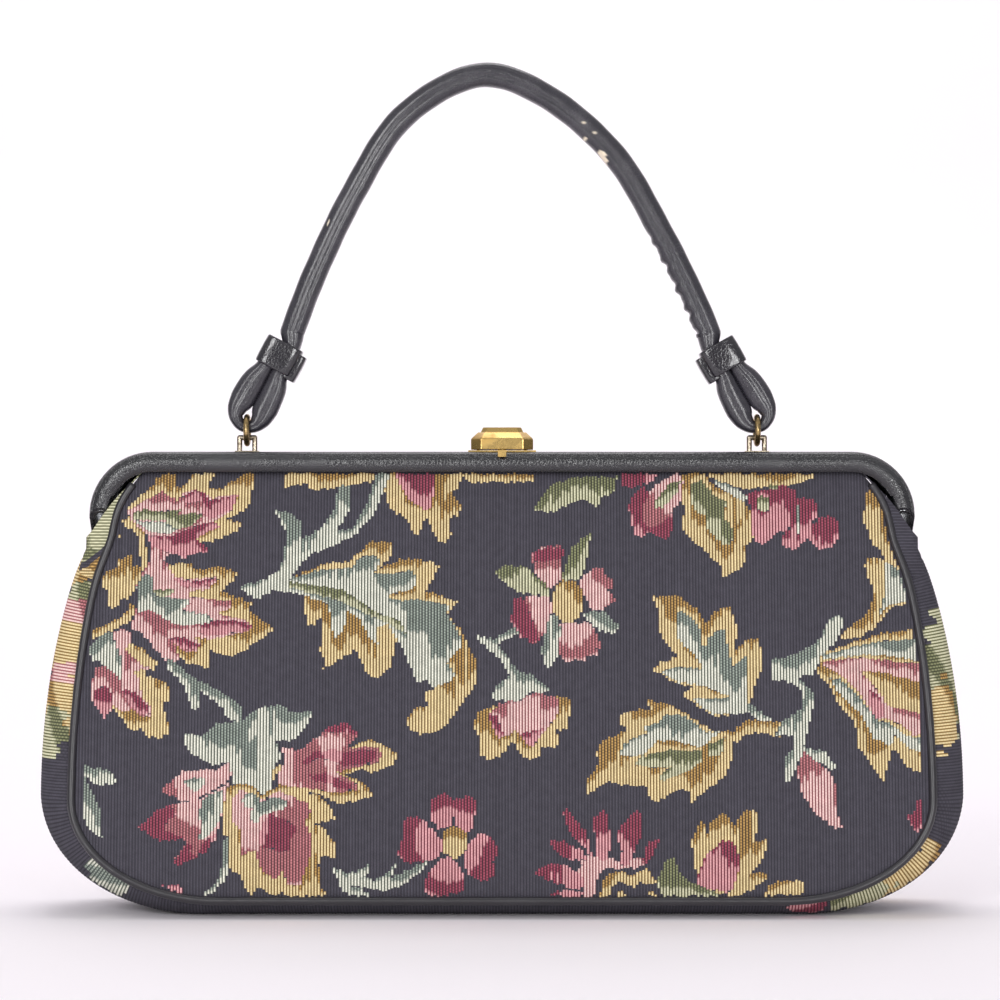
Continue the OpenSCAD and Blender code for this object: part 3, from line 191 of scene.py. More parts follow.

# Tapestry panels: a stiffened front and rear of black ribbed cloth with a floral design in five yarns.
# The yarns are woven in as raised ribs over the ground, so that each field ends in steps, one rib wide.
# Each panel is sewn into the side seams and held in its half of the frame.
SEAM_Y = 28.7
SEAM_Z = 6.0
TOP_Y = 8.9
TOP_Z = 149.5
SLOPE = math.atan2(SEAM_Y - TOP_Y, TOP_Z - SEAM_Z)
PANEL_H = (TOP_Z - SEAM_Z) / math.cos(SLOPE)
PANEL_HALF = 144.2
TAPER = 17.2
CORNER_W = 50.0
CORNER_H = 34.0
WAIST_V = 122.1
RIB = 1.02
PICK = 0.95
RIB_H = 0.28
CROWN = 2.4
LEAN = 4.2
LEAN_V = 126.0
LEAN_RUN = 16.0
WAIST_IN = 1.6
WAIST_RUN = 10.0
GROUND_RIDGE = 0.1
GROUND_T = 1.5
SEAM_MARGIN = 0.6


def side_of(v):
    """Half width of a panel between its seams at a height up its slope, in mm."""
    rise = np.maximum(np.asarray(v, float) - CORNER_H, 0) / (PANEL_H - CORNER_H)
    lean = LEAN * np.clip((np.asarray(v, float) - LEAN_V) / LEAN_RUN, 0, 1.2) ** 2
    waist = WAIST_IN * np.exp(-(((v - WAIST_V) / WAIST_RUN) ** 2))
    return PANEL_HALF - TAPER * rise**2.2 - waist - lean


def low_of(u):
    """Lowest point of a panel at a distance from its middle."""
    past = np.clip((np.abs(u) - PANEL_HALF + CORNER_W) / CORNER_W, 0, 1)
    return CORNER_H * (1 - np.sqrt(1 - past**2))


side_heights = np.linspace(CORNER_H, PANEL_H, 200)
side_widths = np.minimum.accumulate(side_of(side_heights))
FRAME_FLAT = 118.5
FRAME_TURN = 128.5


def high_of(u):
    """Highest point of a panel at a distance from its middle: the frame's inside or the side seam."""
    seam = np.interp(-np.abs(u), -side_widths, side_heights)
    radius = PANEL_H - FRAME_TURN
    past = np.clip(np.abs(u) - FRAME_FLAT, 0, radius)
    corner = FRAME_TURN + np.sqrt(radius**2 - past**2)
    return np.minimum(seam, np.where(np.abs(u) > FRAME_FLAT, corner, PANEL_H))


def swell(u, v):
    """How far a panel's cloth swells out from its flat, in mm."""
    across = 1 - (np.abs(u) / side_of(v)) ** 4
    along = 1 - np.abs(v / PANEL_H * 2 - 1) ** 5
    ripple = 0.25 * np.sin(u * 0.043 + 1.3) * np.sin(v * 0.061 + 0.4) + 0.12 * np.sin(u * 0.11 - v * 0.07)
    return np.clip(across, 0, 1) * np.clip(along, 0, 1) * (CROWN + ripple)


def on_panel(u, v, w, side=1):
    """Places in metres of points on the front panel, or on the rear one with side -1."""
    u, v, w = np.broadcast_arrays(np.asarray(u, float), v, w)
    y = -SEAM_Y + v * math.sin(SLOPE) - w * math.cos(SLOPE)
    z = SEAM_Z + v * math.cos(SLOPE) + w * math.sin(SLOPE)
    return np.stack([u * side, y * side, z], -1) * MM


def placed(name, data):
    """A new object in the scene."""
    made = bpy.data.objects.new(name, data)
    bpy.context.scene.collection.objects.link(made)
    return made


def new_piece(name, points, faces, materials, threads=None, values=None, slots=None):
    """A smooth mesh, with a UV and named values for each point and a material slot for each face."""
    mesh = bpy.data.meshes.new(name)
    mesh.from_pydata([tuple(p) for p in points], [], [tuple(f) for f in faces])
    for material in materials:
        mesh.materials.append(material)
    corners = np.zeros(len(mesh.loops), np.int32)
    mesh.loops.foreach_get("vertex_index", corners)
    if threads is not None:
        layer = mesh.uv_layers.new(name="thread")
        layer.uv.foreach_set("vector", np.asarray(threads, np.float32)[corners].ravel())
    for key, numbers in (values or {}).items():
        mesh.attributes.new(key, "FLOAT", "POINT").data.foreach_set("value", np.asarray(numbers, np.float32))
    mesh.polygons.foreach_set("use_smooth", np.ones(len(mesh.polygons), bool))
    if slots is not None:
        mesh.polygons.foreach_set("material_index", np.asarray(slots, np.int32))
    return placed(name, mesh)


def grid_faces(rows, columns, first=0, closed=False, flip=False):
    """Quads of a grid of points, with its columns joined round where it is closed."""
    made = []
    for i in range(rows - 1):
        for j in range(columns if closed else columns - 1):
            k = (j + 1) % columns
            quad = (first + i * columns + j, first + i * columns + k, first + (i + 1) * columns + k,
                first + (i + 1) * columns + j)
            made.append(quad[::-1] if flip else quad)
    return made


def closed_sheet(rows, columns, flip=False):
    """Faces of a thin closed sheet: a grid outside, one inside after it, and the rim between them."""
    total = rows * columns
    made = grid_faces(rows, columns, flip=flip) + grid_faces(rows, columns, total, flip=not flip)
    rim = [i * columns for i in range(rows)] + [(rows - 1) * columns + j for j in range(1, columns)]
    rim += [i * columns + columns - 1 for i in range(rows - 2, -1, -1)] + list(range(columns - 2, 0, -1))
    for a, b in zip(rim, rim[1:] + rim[:1]):
        made.append((b, a, a + total, b + total) if flip else (a, b, b + total, a + total))
    return made


# Weave: each rib is painted light along its crown and painted shade at its flanks and in the gap to the next
# rib, over the yarn's own darker thread between ribs.
weave, given, result = new_group(
    "weave",
    [("Thread", "Vector", (0, 0, 0)), ("Shade", "Float", 0.0),
        ("Light", "Color", (1, 1, 1, 1)), ("Gap", "Color", (0.3, 0.3, 0.3, 1)),
        ("Deep", "Color", (0.2, 0.2, 0.2, 1)), ("KnotAndShade", "Color", (0.1, 0.1, 0.1, 1))],
    [("Color", "Color"), ("Height", "Float")],
)
parts = add(weave, "SeparateXYZ", {0: given["Thread"]}).outputs
across = reckon(weave, "FRACT", parts[0])
number = reckon(weave, "FLOOR", parts[0])
rest = reckon(weave, "SUBTRACT", 1.0, across)
# The rib's arch, 1 along its crown and 0 at its flanks: it places the painted highlight and the painted shade,
# and the bump's height.
arch = reckon(weave, "MULTIPLY", reckon(weave, "MULTIPLY", across, rest), 4.0)
rib = stepped(weave, arch, 0.0, 1.0, 0.4, 0.95)
shift = reckon(weave, "MULTIPLY_ADD", number, 0.5, parts[1])
beat = reckon(weave, "SINE", reckon(weave, "MULTIPLY", shift, 2 * math.pi))
pick = reckon(weave, "MULTIPLY_ADD", beat, 0.5, 0.5)
own = add(weave, "TexWhiteNoise", {"W": number}, noise_dimensions="1D").outputs[0]
fuzz = add(weave, "TexNoise", {"Vector": given["Thread"], "Scale": 0.35, "Detail": 4.0}).outputs[0]
# Painted crown light and flank shade with the picks' beat woven through: striped where the yarn is light,
# checked where it is deep.
stripe_and_crown_light = reckon(weave, "MULTIPLY", rib, reckon(weave, "MULTIPLY_ADD", pick, 0.2, 0.8))
check_and_crown_light = reckon(weave, "MULTIPLY", rib, reckon(weave, "MULTIPLY_ADD", pick, 0.65, 0.35))
striped = mixed(weave, stripe_and_crown_light, given["Gap"], given["Light"])
checked = mixed(weave, check_and_crown_light, given["KnotAndShade"], given["Deep"])
cloth = mixed(weave, given["Shade"], striped, checked)
uneven = reckon(weave, "MULTIPLY_ADD", fuzz, 0.5, reckon(weave, "MULTIPLY_ADD", own, 0.12, 0.69))
grey = add(weave, "CombineColor", {0: uneven, 1: uneven, 2: uneven}).outputs[0]
weave.links.new(mixed(weave, 1.0, cloth, grey, "MULTIPLY"), result["Color"])
weave.links.new(reckon(weave, "MULTIPLY_ADD", pick, 0.4, rib), result["Height"])


def yarn(name, light, gap_and_shade, deep, knot_and_shade, bump=0.35):
    """A woven yarn: its lit ribs and the gaps between, then its shaded ribs and the knots between; each rib is
    painted lighter along its crown and darker at its flanks, as painted light and shade.
    """
    material, tree, shader = new_material(name, {"Roughness": 0.85, "Specular IOR Level": 0.2})
    thread = add(tree, "UVMap", uv_map="thread").outputs[0]
    shade = add(tree, "Attribute", attribute_name="shade").outputs["Fac"]
    values = {"Thread": thread, "Shade": shade, "Light": light, "Gap": gap_and_shade, "Deep": deep, "KnotAndShade": knot_and_shade}
    wire(tree, shader, weave, values, bump, 0.0003)
    return material


# The black ground's ribs are painted lighter at their crowns and darker in the gaps: painted light and shade.
ground_light, ground_gap_and_shade = linear(76, 74, 83), linear(56, 54, 61)
ground_yarn = yarn("tapestry_ground", ground_light, ground_gap_and_shade, ground_light, ground_gap_and_shade)
# Screen colours of each yarn: lit ribs, gaps, shaded ribs, knots; the rib colours also carry a painted
# highlight along the crowns, and the gap and knot colours painted shade at the flanks
YARN_COLOURS = {
    "gold": ((238, 218, 168), (132, 102, 52), (204, 164, 100), (88, 68, 42)),
    "rose": ((240, 208, 202), (150, 84, 88), (206, 134, 138), (104, 62, 66)),
    "crimson": ((228, 172, 174), (128, 54, 70), (172, 86, 104), (84, 42, 54)),
    "sage": ((236, 235, 220), (98, 106, 92), (164, 174, 162), (74, 82, 78)),
    "olive": ((218, 216, 184), (92, 94, 60), (150, 152, 114), (66, 70, 52)),
}
YARNS = tuple(YARN_COLOURS)
yarns = {}
for colour, tones in YARN_COLOURS.items():
    yarns[colour] = yarn(colour + "_yarn", *[linear(*tone) for tone in tones])

rib_edges = np.arange(-PANEL_HALF + SEAM_MARGIN, PANEL_HALF - SEAM_MARGIN, RIB / 2)
GROUND_ROWS = 40


def weave_ground(name, side):
    """The black ground of a panel as a thin closed sheet, ribbed in front."""
    share = np.linspace(0, 1, GROUND_ROWS)[:, None]
    u = rib_edges[None, :]
    v = low_of(u) + (high_of(u) - low_of(u)) * share
    ridge = GROUND_RIDGE * (np.arange(len(rib_edges)) % 2)[None, :]
    face = on_panel(u + 0 * v, v, swell(u, v) + ridge - GROUND_RIDGE, side).reshape(-1, 3)
    back = on_panel(u + 0 * v, v, swell(u, v) - GROUND_T, side).reshape(-1, 3)
    thread = np.stack([(u + 0 * v) / RIB, v / PICK], -1).reshape(-1, 2)
    faces = closed_sheet(GROUND_ROWS, len(rib_edges))
    return new_piece(name, np.concatenate([face, back]), faces, [ground_yarn], np.concatenate([thread, thread]))


def woven_runs(node, side):
    """For each rib, the stretches along it that a woven CAD field covers."""
    mesh = nodes[node].data
    mesh.calc_loop_triangles()
    places = np.array([p.co for p in mesh.vertices]) / MM * (side, side, 1)
    out = -(places[:, 1] + SEAM_Y) * math.cos(SLOPE) + (places[:, 2] - SEAM_Z) * math.sin(SLOPE)
    up = (places[:, 1] + SEAM_Y) * math.sin(SLOPE) + (places[:, 2] - SEAM_Z) * math.cos(SLOPE)
    runs = {}
    for triangle in mesh.loop_triangles:
        corner = list(triangle.vertices)
        if out[corner].min() < 0.2:
            continue
        us, vs = places[corner, 0], up[corner]
        first = math.ceil((us.min() + PANEL_HALF) / RIB - 0.5)
        last = math.floor((us.max() + PANEL_HALF) / RIB - 0.5)
        for number in range(first, last + 1):
            u = (number + 0.5) * RIB - PANEL_HALF
            cuts = []
            for a, b in ((0, 1), (1, 2), (2, 0)):
                if (us[a] - u) * (us[b] - u) < 0:
                    cuts.append(vs[a] + (vs[b] - vs[a]) * (u - us[a]) / (us[b] - us[a]))
            if len(cuts) == 2:
                runs.setdefault(number, []).append(sorted(cuts))
    for number, found in runs.items():
        joined = []
        for low, high in sorted(found):
            if joined and low < joined[-1][1] + 0.15:
                joined[-1][1] = max(joined[-1][1], high)
            else:
                joined.append([low, high])
        runs[number] = joined
    return runs


RIB_SHAPE = ((-0.47, 0.0), (-0.25, 0.9), (0.25, 0.9), (0.47, 0.0))
ROW = 0.9
# Share of each rib's stretch, from its low end, where the yarn turns from its lit to its shaded weave
TURN_UP = {"gold": 0.74, "rose": 0.68, "crimson": 0.56, "sage": 0.64, "olive": 0.5}
# Flowers whose petals are shaded towards their tips, as [u, v, radius, share of the radius], in mm
ROSETTES = ((-15.8, 19.5, 18.5, 0.66), (22.2, 100.1, 19.5, 0.68), (33.6, 6.7, 25, 0.6),
    (-91.4, 38.6, 33, 0.62), (-74.6, 43.7, 38, 0.6), (63.8, 143.1, 24, 0.55))


def shaded(u, v, low, high, colour, loose):
    """Whether a yarn is in its shaded weave at a place on a rib's stretch; loose is the rib's own shift."""
    drift = math.sin(u * 0.21 + v * 0.13 + 1) + 0.6 * math.sin(u * 0.37 - v * 0.29 + 2) + loose
    if colour in ("rose", "crimson"):
        for x, y, radius, turn in ROSETTES:
            away = math.hypot(u - x, v - y)
            if away < radius:
                return away / radius + 0.07 * drift > turn
    return (v - low) / (high - low) + 0.26 * drift > TURN_UP[colour]


def weave_yarn(name, node, side, seed, colour):
    """The ribs of one yarn on a panel, each a low ridge along the stretches that its field covers."""
    rng = np.random.default_rng(seed)
    points, faces, threads, shades = [], [], [], []
    for number, stretches in sorted(woven_runs(node, side).items()):
        middle = (number + 0.5) * RIB - PANEL_HALF
        for low, high in stretches:
            low = low - rng.uniform(-0.3, 0.7)
            high = high + rng.uniform(-0.3, 0.7)
            low = max(low, float(low_of(middle)) + 0.8)
            high = min(high, float(high_of(middle)) - 0.3)
            if high - low < 0.5:
                continue
            rows = max(3, int((high - low) / ROW) + 2)
            v = np.linspace(low, high, rows)
            lift = np.ones(rows)
            lift[[0, -1]] = 0.0
            first = len(points)
            loose = rng.uniform(-0.5, 0.5)
            for step in range(rows):
                deep = shaded(middle, v[step], low, high, colour, loose)
                for offset, height in RIB_SHAPE:
                    u = middle + offset * RIB
                    w = float(swell(u, v[step])) + RIB_H * height * lift[step] - 0.02
                    points.append(on_panel(u, v[step], w, side))
                    threads.append((number + 0.5 + offset, v[step] / PICK))
                    shades.append(1.0 if deep else 0.0)
            faces += grid_faces(rows, len(RIB_SHAPE), first)
    return new_piece(name, points, faces, [yarns[colour]], threads, {"shade": shades})


for end, side in (("front", 1), ("rear", -1)):
    panel = weave_ground(end + "_tapestry", side)
    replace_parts(panel, end + "_panel")
    pieces = [panel]
    for order, colour in enumerate(YARNS):
        piece = weave_yarn(f"{end}_{colour}_ribs", f"{end}_{colour}_weave", side, order, colour)
        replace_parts(piece, f"{end}_{colour}_weave")
        pieces.append(piece)
    for piece in pieces:
        if end == "front":
            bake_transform(piece)
        else:
            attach(piece, "bag")
    cut = float(np.mean(high_of(rib_edges) - low_of(rib_edges))) * 2 * PANEL_HALF

# Gusset: one strip of the same tapestry, sewn between the panels down one side, under the base and up again.
# Its ribs run from seam to seam, and it bulges at the sides and is drawn in between the frame's arms.
SIDE_BULGE = 12.0
BASE_SAG = 6.0
HINGE_V = 120.1
PINCH_V = HINGE_V - 4.5
GUSSET_TOP = PANEL_H - 7.0
GUSSET_T = 1.4
# How much the sides' bulge falls off up to the hinge, and how far the cloth is drawn in above it
BULGE_FALL = 0.42
DRAWN_IN = 5.0
SEAM_INSET = 0.4
# Half of the strip's width in threads of its weave
THREAD_HALF = 28.0


def ease(x, low, high):
    """Smooth step from 0 to 1."""
    t = np.clip((np.asarray(x, float) - low) / (np.asarray(high, float) - low), 0, 1)
    return t * t * (3 - 2 * t)


def seam_points(top, step):
    """The seam line as [u, v], evenly spaced from the left top round the bottom to the right top."""
    turn = np.linspace(0, math.pi / 2, 60)[1:]
    rise = np.linspace(CORNER_H, top, 80)[1:]
    flat = np.linspace(0, PANEL_HALF - CORNER_W, 20)
    u = np.concatenate([flat, PANEL_HALF - CORNER_W + CORNER_W * np.sin(turn), side_of(rise)])
    v = np.concatenate([0 * flat, CORNER_H * (1 - np.cos(turn)), rise])
    run = np.concatenate([[0], np.cumsum(np.hypot(np.diff(u), np.diff(v)))])
    count = int(run[-1] / step) + 1
    at = np.linspace(0, run[-1], count)
    right = np.stack([np.interp(at, run, u), np.interp(at, run, v)], -1)
    left = right[:0:-1] * (-1, 1)
    return np.concatenate([left, right]), np.concatenate([-at[:0:-1], at])


def outward(line):
    """Unit directions out of a seam line."""
    run = np.gradient(line, axis=0)
    run /= np.linalg.norm(run, axis=1)[:, None]
    return np.stack([run[:, 1], -run[:, 0]], -1)


def side_bulge(v):
    """How far a side of the gusset stands out past its seam, before the hinge draws it in, in mm."""
    rise = np.maximum(v - CORNER_H, 0) / (HINGE_V - CORNER_H)
    return SIDE_BULGE - BULGE_FALL * SIDE_BULGE * rise**2


def hem_of(share):
    """The share of its bulge that the gusset has at a share from one seam, -1, to the other, 1."""
    return np.minimum(1, (1 - share**4) / (1 - 0.5**4))


def bulge_of(v):
    """How far the gusset stands out past the seam at a height, in mm."""
    corner = BASE_SAG + (SIDE_BULGE - BASE_SAG) * np.sqrt(np.clip(v / CORNER_H, 0, 1))
    full = np.where(v < CORNER_H, corner, side_bulge(v))
    start = PINCH_V - 3.5
    return full * (1 - ease(v, start, PINCH_V)) - DRAWN_IN * ease(v, start, PINCH_V + 9)


def on_gusset(u, v, out, share, lift=0.0):
    """Places in metres on the gusset at a share from the front seam, -1, to the rear seam, 1."""
    reach = bulge_of(v) * hem_of(share) + lift
    y = share * (SEAM_Y - v * math.sin(SLOPE) - SEAM_INSET)
    z = SEAM_Z + v * math.cos(SLOPE)
    return np.stack([u + out[..., 0] * reach, y, np.maximum(z + out[..., 1] * reach, 0.02)], -1) * MM


# Fields of colour on the gusset as [yarn, middle along it, middle share, half length, half share, slant]
GUSSET_FIELDS = (("olive", -262, -0.9, 12, 0.7, 4), ("gold", -238, -0.8, 6, 0.5, 8),
    ("olive", -229, -0.88, 4.5, 0.4, 7),
    ("rose", -222.5, -0.82, 5, 0.42, 5), ("gold", -211, -0.75, 9, 0.5, 8),
    ("rose", -201.5, -0.85, 4.5, 0.35, 5),
    ("gold", -189, -0.75, 11, 0.46, 8), ("olive", -181, -0.66, 9, 0.3, 6), ("sage", -132, -0.88, 7, 0.25, 4),
    ("olive", 203, -0.66, 21, 0.44, 12), ("gold", 188, -0.85, 12, 0.2, 9),
    ("gold", 130, -0.86, 19, 0.26, 6), ("olive", 119, -0.82, 11, 0.22, 5), ("crimson", 102, -0.9, 7, 0.2, 3))
ORDER = {colour: number + 1 for number, colour in enumerate(YARNS)}


def field_at(run, share):
    """The material slot of the gusset at a place: 0 for the ground, or the yarn woven there."""
    share = -abs(share)
    found = 0
    for colour, middle, level, length, wide, slant in GUSSET_FIELDS:
        along = (run - middle - slant * (share - level)) / length
        if along**2 + ((share - level) / wide) ** 2 < 1 + 0.3 * math.sin(run * 0.9 + share * 5):
            found = ORDER[colour]
    return found


def woven_slots(runs, shares):
    """The slot of each outer face of a gusset grid, one rib at a time."""
    numbers = np.floor((runs[1:] + runs[:-1]) / 2 / RIB)
    middles = (shares[1:] + shares[:-1]) / 2
    rng = np.random.default_rng(7)
    shifts = {number: rng.uniform(-0.03, 0.03) for number in sorted(set(numbers))}
    return [field_at((number + 0.5) * RIB, share + shifts[number])
        for number in numbers for share in middles]


gusset_looks = [ground_yarn] + [yarns[colour] for colour in YARNS]
gusset_line, gusset_run = seam_points(GUSSET_TOP, RIB / 2)
gusset_out = outward(gusset_line)
shares = np.sin(np.linspace(-math.pi / 2, math.pi / 2, 35))
u, v = gusset_line[:, 0][:, None], gusset_line[:, 1][:, None]
across = shares[None, :] + 0 * u
ridge = GROUND_RIDGE * (np.arange(len(gusset_line)) % 2)[:, None] - GROUND_RIDGE
layers = [on_gusset(u + 0 * across, v + 0 * across, gusset_out[:, None, :], across, ridge - inset)
    for inset in (0.0, GUSSET_T)]
gusset_face = layers[0]
faces = closed_sheet(*gusset_face.shape[:2], flip=True)
slots = woven_slots(gusset_run, shares)
slots += [0] * (len(faces) - len(slots))
thread = np.stack([gusset_run[:, None] / RIB + 0 * across, across * THREAD_HALF / PICK], -1).reshape(-1, 2)
shade = (np.sin(gusset_run[:, None] * 0.13 + shares * 7) > 0.75).astype(float).ravel()
points = np.concatenate([layer.reshape(-1, 3) for layer in layers])
gusset = new_piece("gusset_strip", points, faces, gusset_looks,
    np.concatenate([thread, thread]), {"shade": np.concatenate([shade, shade])}, slots)
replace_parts(gusset, "gusset")
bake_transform(gusset)

# Gusset flaps: at each side a fold of the gusset's own cloth stands up outside the hinge and hides it.
# It is sewn to the gusset below the hinge and to the panels at its two sides.
FLAP_LOW = 108.0
FLAP_TOP = 124.5
FLAP_SEAM = 146.0
FLAP_TURN = 0.94
FLAP_OUT = 140.65
FLAP_T = 0.5
FLAP_LIFT = 0.25
FLAP_SPREAD = 1.2
FLAP_EASE = 9.0
# The strip's length from its middle to the top of its corner
RUN_AT_CORNER = 161.0
FLAP_ROWS = 44
flap_shares = np.concatenate([np.linspace(-1, -FLAP_TURN, 17)[:-1], np.linspace(-FLAP_TURN, FLAP_TURN, 25),
    np.linspace(FLAP_TURN, 1, 17)[1:]])
for end, side in (("left", -1), ("right", 1)):
    share = flap_shares[None, :]
    turned = np.interp(np.abs(share), (0.85, FLAP_TURN, 1), (1, 0.75, 0))
    fallen = (FLAP_TOP - FLAP_SEAM) * np.minimum(turned / 0.75, 1) ** 0.5
    top = FLAP_SEAM + fallen - 10 * np.maximum(turned - 0.75, 0)
    v = FLAP_LOW + (top - FLAP_LOW) * np.linspace(0, 1, FLAP_ROWS)[:, None]
    seam = side_of(v)
    hem = hem_of(share)
    rise = ease(v, FLAP_LOW, FLAP_LOW + FLAP_EASE)
    bulge = np.maximum(side_bulge(v), (FLAP_OUT - seam) * rise)
    reach = bulge * (hem + (turned - hem) * rise) + FLAP_LIFT
    depth = share * (SEAM_Y - v * math.sin(SLOPE) - SEAM_INSET)
    spread = np.sign(share) * ease(np.abs(share), 0.5, 0.9)
    layers = []
    for inset in (0.0, FLAP_T):
        x = side * (seam + reach - inset * turned)
        y = depth + spread * (FLAP_SPREAD * rise - inset)
        layers.append(np.stack([x, y, SEAM_Z + v * math.cos(SLOPE)], -1).reshape(-1, 3) * MM)
    run = side * (RUN_AT_CORNER + v - CORNER_H)
    faces = closed_sheet(FLAP_ROWS, len(flap_shares), flip=side > 0)
    slots = woven_slots(run[:, 0], flap_shares)
    slots += [0] * (len(faces) - len(slots))
    thread = np.stack([run / RIB + 0 * share, share * THREAD_HALF / PICK + 0 * v], -1).reshape(-1, 2)
    shade = (np.sin(run * 0.2 + share * 7) > 0.75).astype(float).ravel()
    flap = new_piece(end + "_gusset_flap", np.concatenate(layers), faces, gusset_looks,
        np.concatenate([thread, thread]), {"shade": np.concatenate([shade, shade])}, slots)
    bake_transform(flap)

# Piping: shiny black vinyl wrapped round a cord, which trims both seams from one arm of the frame to the next.
# It is sewn in between a panel and the gusset, and puckers slightly at the stitches.
PIPING_R = 1.4
PIPING_TOP = PANEL_H - 4.5
PIPING_SIDES = 16
piping_vinyl = vinyl("piping_vinyl", linear(44, 42, 47), linear(58, 56, 62), 0.36, 2600.0, 0.06, 0.1)
piping_line, piping_run = seam_points(PIPING_TOP, 1.2)
piping_out = outward(piping_line)


def tube_faces(rings, sides):
    """Faces of a tube of rings of points, with a flat cap at either end."""
    caps = [tuple(range(sides - 1, -1, -1)), tuple(range((rings - 1) * sides, rings * sides))]
    return grid_faces(rings, sides, closed=True) + caps


turns = np.linspace(0, 2 * math.pi, PIPING_SIDES, endpoint=False)
pucker = 1 + 0.03 * np.sin(piping_run * 0.9) * np.sin(piping_run * 0.23)
for end, side in (("front", 1), ("rear", -1)):
    ring = PIPING_R * pucker[:, None] * np.cos(turns)
    rise = PIPING_R * pucker[:, None] * np.sin(turns)
    u = piping_line[:, :1] + piping_out[:, :1] * ring
    v = piping_line[:, 1:] + piping_out[:, 1:] * ring
    points = on_panel(u, v, rise, side).reshape(-1, 3)
    faces = tube_faces(len(piping_line), PIPING_SIDES)
    piping = new_piece(end + "_piping_cord", points, faces, [piping_vinyl])
    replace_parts(piping, end + "_piping")
    if end == "front":
        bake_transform(piping)
    else:
        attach(piping, "bag")

# Lining: a thin plain cloth pouch inside, with a stiff board under its floor.
# It is cut from plain woven cotton and sewn to the frame's inside.
# Its threads, like the tapestry's, are painted lighter along their crowns and darker between them: painted
# light and shade.
lining_cloth = yarn("lining_cloth", linear(186, 166, 138), linear(150, 130, 104), linear(172, 152, 124),
    linear(134, 114, 90), 0.1)
board_card = vinyl("board", linear(150, 122, 86), linear(170, 142, 104), 0.8, 500.0, 0.1)
finish_node("base_board", board_card)
mesh = nodes["lining"].data.copy()
sewn = bmesh.new()
sewn.from_mesh(mesh)
bmesh.ops.remove_doubles(sewn, verts=sewn.verts, dist=1e-6)
bmesh.ops.subdivide_edges(sewn, edges=sewn.edges, cuts=1, use_grid_fill=True)
layer = sewn.loops.layers.uv.new("thread")
for face in sewn.faces:
    face.smooth = True
    flat = abs(face.normal.x) < 0.7
    for loop in face.loops:
        place = loop.vert.co / MM
        loop[layer].uv = ((place.x if flat else place.y) / 0.8, (place.z + 0.6 * place.y * flat) / 0.6)
cut = sum(face.calc_area() for face in sewn.faces) / 2
sewn.to_mesh(mesh)
sewn.free()
mesh.materials.clear()
mesh.materials.append(lining_cloth)
lining = placed("lining_pouch", mesh)
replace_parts(lining, "lining")
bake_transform(lining)

# Clasp: a gold plated hollow lever with bevelled facets, over a catch on the front half.
# It turns on a pin between two ears of a base plate on the rear half, and a wire spring keeps it down.
gold_plate = metal("clasp_gold", linear(206, 174, 110), linear(176, 142, 82), 120.0, 0.0)
spring_wire = metal("clasp_spring_wire", linear(190, 190, 190), linear(130, 130, 130), 900.0)


def bevelled(name, node, width, material):
    """A copy of a CAD node with its sharp edges rounded off."""
    mesh = nodes[node].data.copy()
    rounded = bmesh.new()
    rounded.from_mesh(mesh)
    bmesh.ops.remove_doubles(rounded, verts=rounded.verts, dist=1e-6)
    bmesh.ops.dissolve_limit(rounded, angle_limit=0.02, verts=rounded.verts, edges=rounded.edges)
    sharp = [edge for edge in rounded.edges if edge.is_manifold and edge.calc_face_angle() > 0.2]
    bmesh.ops.bevel(rounded, geom=sharp, offset=width, segments=2, profile=0.6, affect="EDGES",
        clamp_overlap=True)
    rounded.to_mesh(mesh)
    rounded.free()
    mesh.materials.clear()
    mesh.materials.append(material)
    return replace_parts(placed(name, mesh), node)


lever = bevelled("clasp_cap", "clasp_lever", 0.3 * MM, gold_plate)
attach(lever, "lever")
for name in ("clasp_base", "clasp_pin", "clasp_catch"):
    finish_node(name, gold_plate)
finish_node("clasp_spring", spring_wire)

# Rings and staples: rings of bent brass wire, dulled with age, that carry the strap.
# Each hangs in a staple of paler wire, whose two legs are fixed in the top of the rear half.
ring_brass = metal("ring_metal", linear(176, 150, 104), linear(120, 104, 78), 700.0)
pale_plate = metal("pale_metal", linear(176, 164, 146), linear(132, 120, 102), 700.0)
for end in ("left", "right"):
    finish_node(end + "_ring", ring_brass)
    finish_node(end + "_staple", pale_plate)

# Strap: a rolled black vinyl handle with a crease along its front, folded round a ring at each end.
# Each fold is held in a keeper band; the vinyl is rumpled on the right and chipped to its cream backing.
RING_X = 87.5
STRAP_Y = 4.5
LOOP_Z = 168.15
STRAP_RISE = 117.2
STRAP_W = 8.4
STRAP_D = 8.0
LEANS = {-1: math.radians(28), 1: math.radians(30)}
# One end of the strap as [along, aside, share of its width, share of its depth], from the run to its tip
FOLD = ((33, 0, 1, 1), (30.5, -1.4, 0.85, 1), (27, -2.7, 0.64, 0.95), (22, -2.75, 0.66, 0.93),
    (17.5, -2.9, 0.74, 0.9), (13, -3.8, 0.95, 0.88), (8.5, -4.2, 1.03, 0.85), (4.5, -4.3, 1.03, 0.8),
    (1, -4.4, 0.8, 0.74), (-2, -3.2, 0.55, 0.7), (-3.5, 0, 0.48, 0.7), (-2, 3.2, 0.55, 0.7),
    (1, 4.4, 0.8, 0.74), (4.5, 4.3, 1.03, 0.8), (8.5, 4.2, 1.03, 0.85), (13, 3.8, 0.95, 0.88),
    (17.5, 2.9, 0.74, 0.9), (22, 2.75, 0.66, 0.93), (26.4, 2.75, 0.64, 0.93))
# The arch as shares of the ring distance and of the rise
ARCH = ((-0.731, 0.426), (-0.583, 0.656), (-0.389, 0.878), (-0.097, 1), (0.171, 0.94), (0.44, 0.767),
    (0.623, 0.541), (0.749, 0.353))
STRAP_SIDES = 48
CREASE_AT = math.radians(262)
EDGE_AT = 5.3
RUMPLES = (232.0, 196.0)
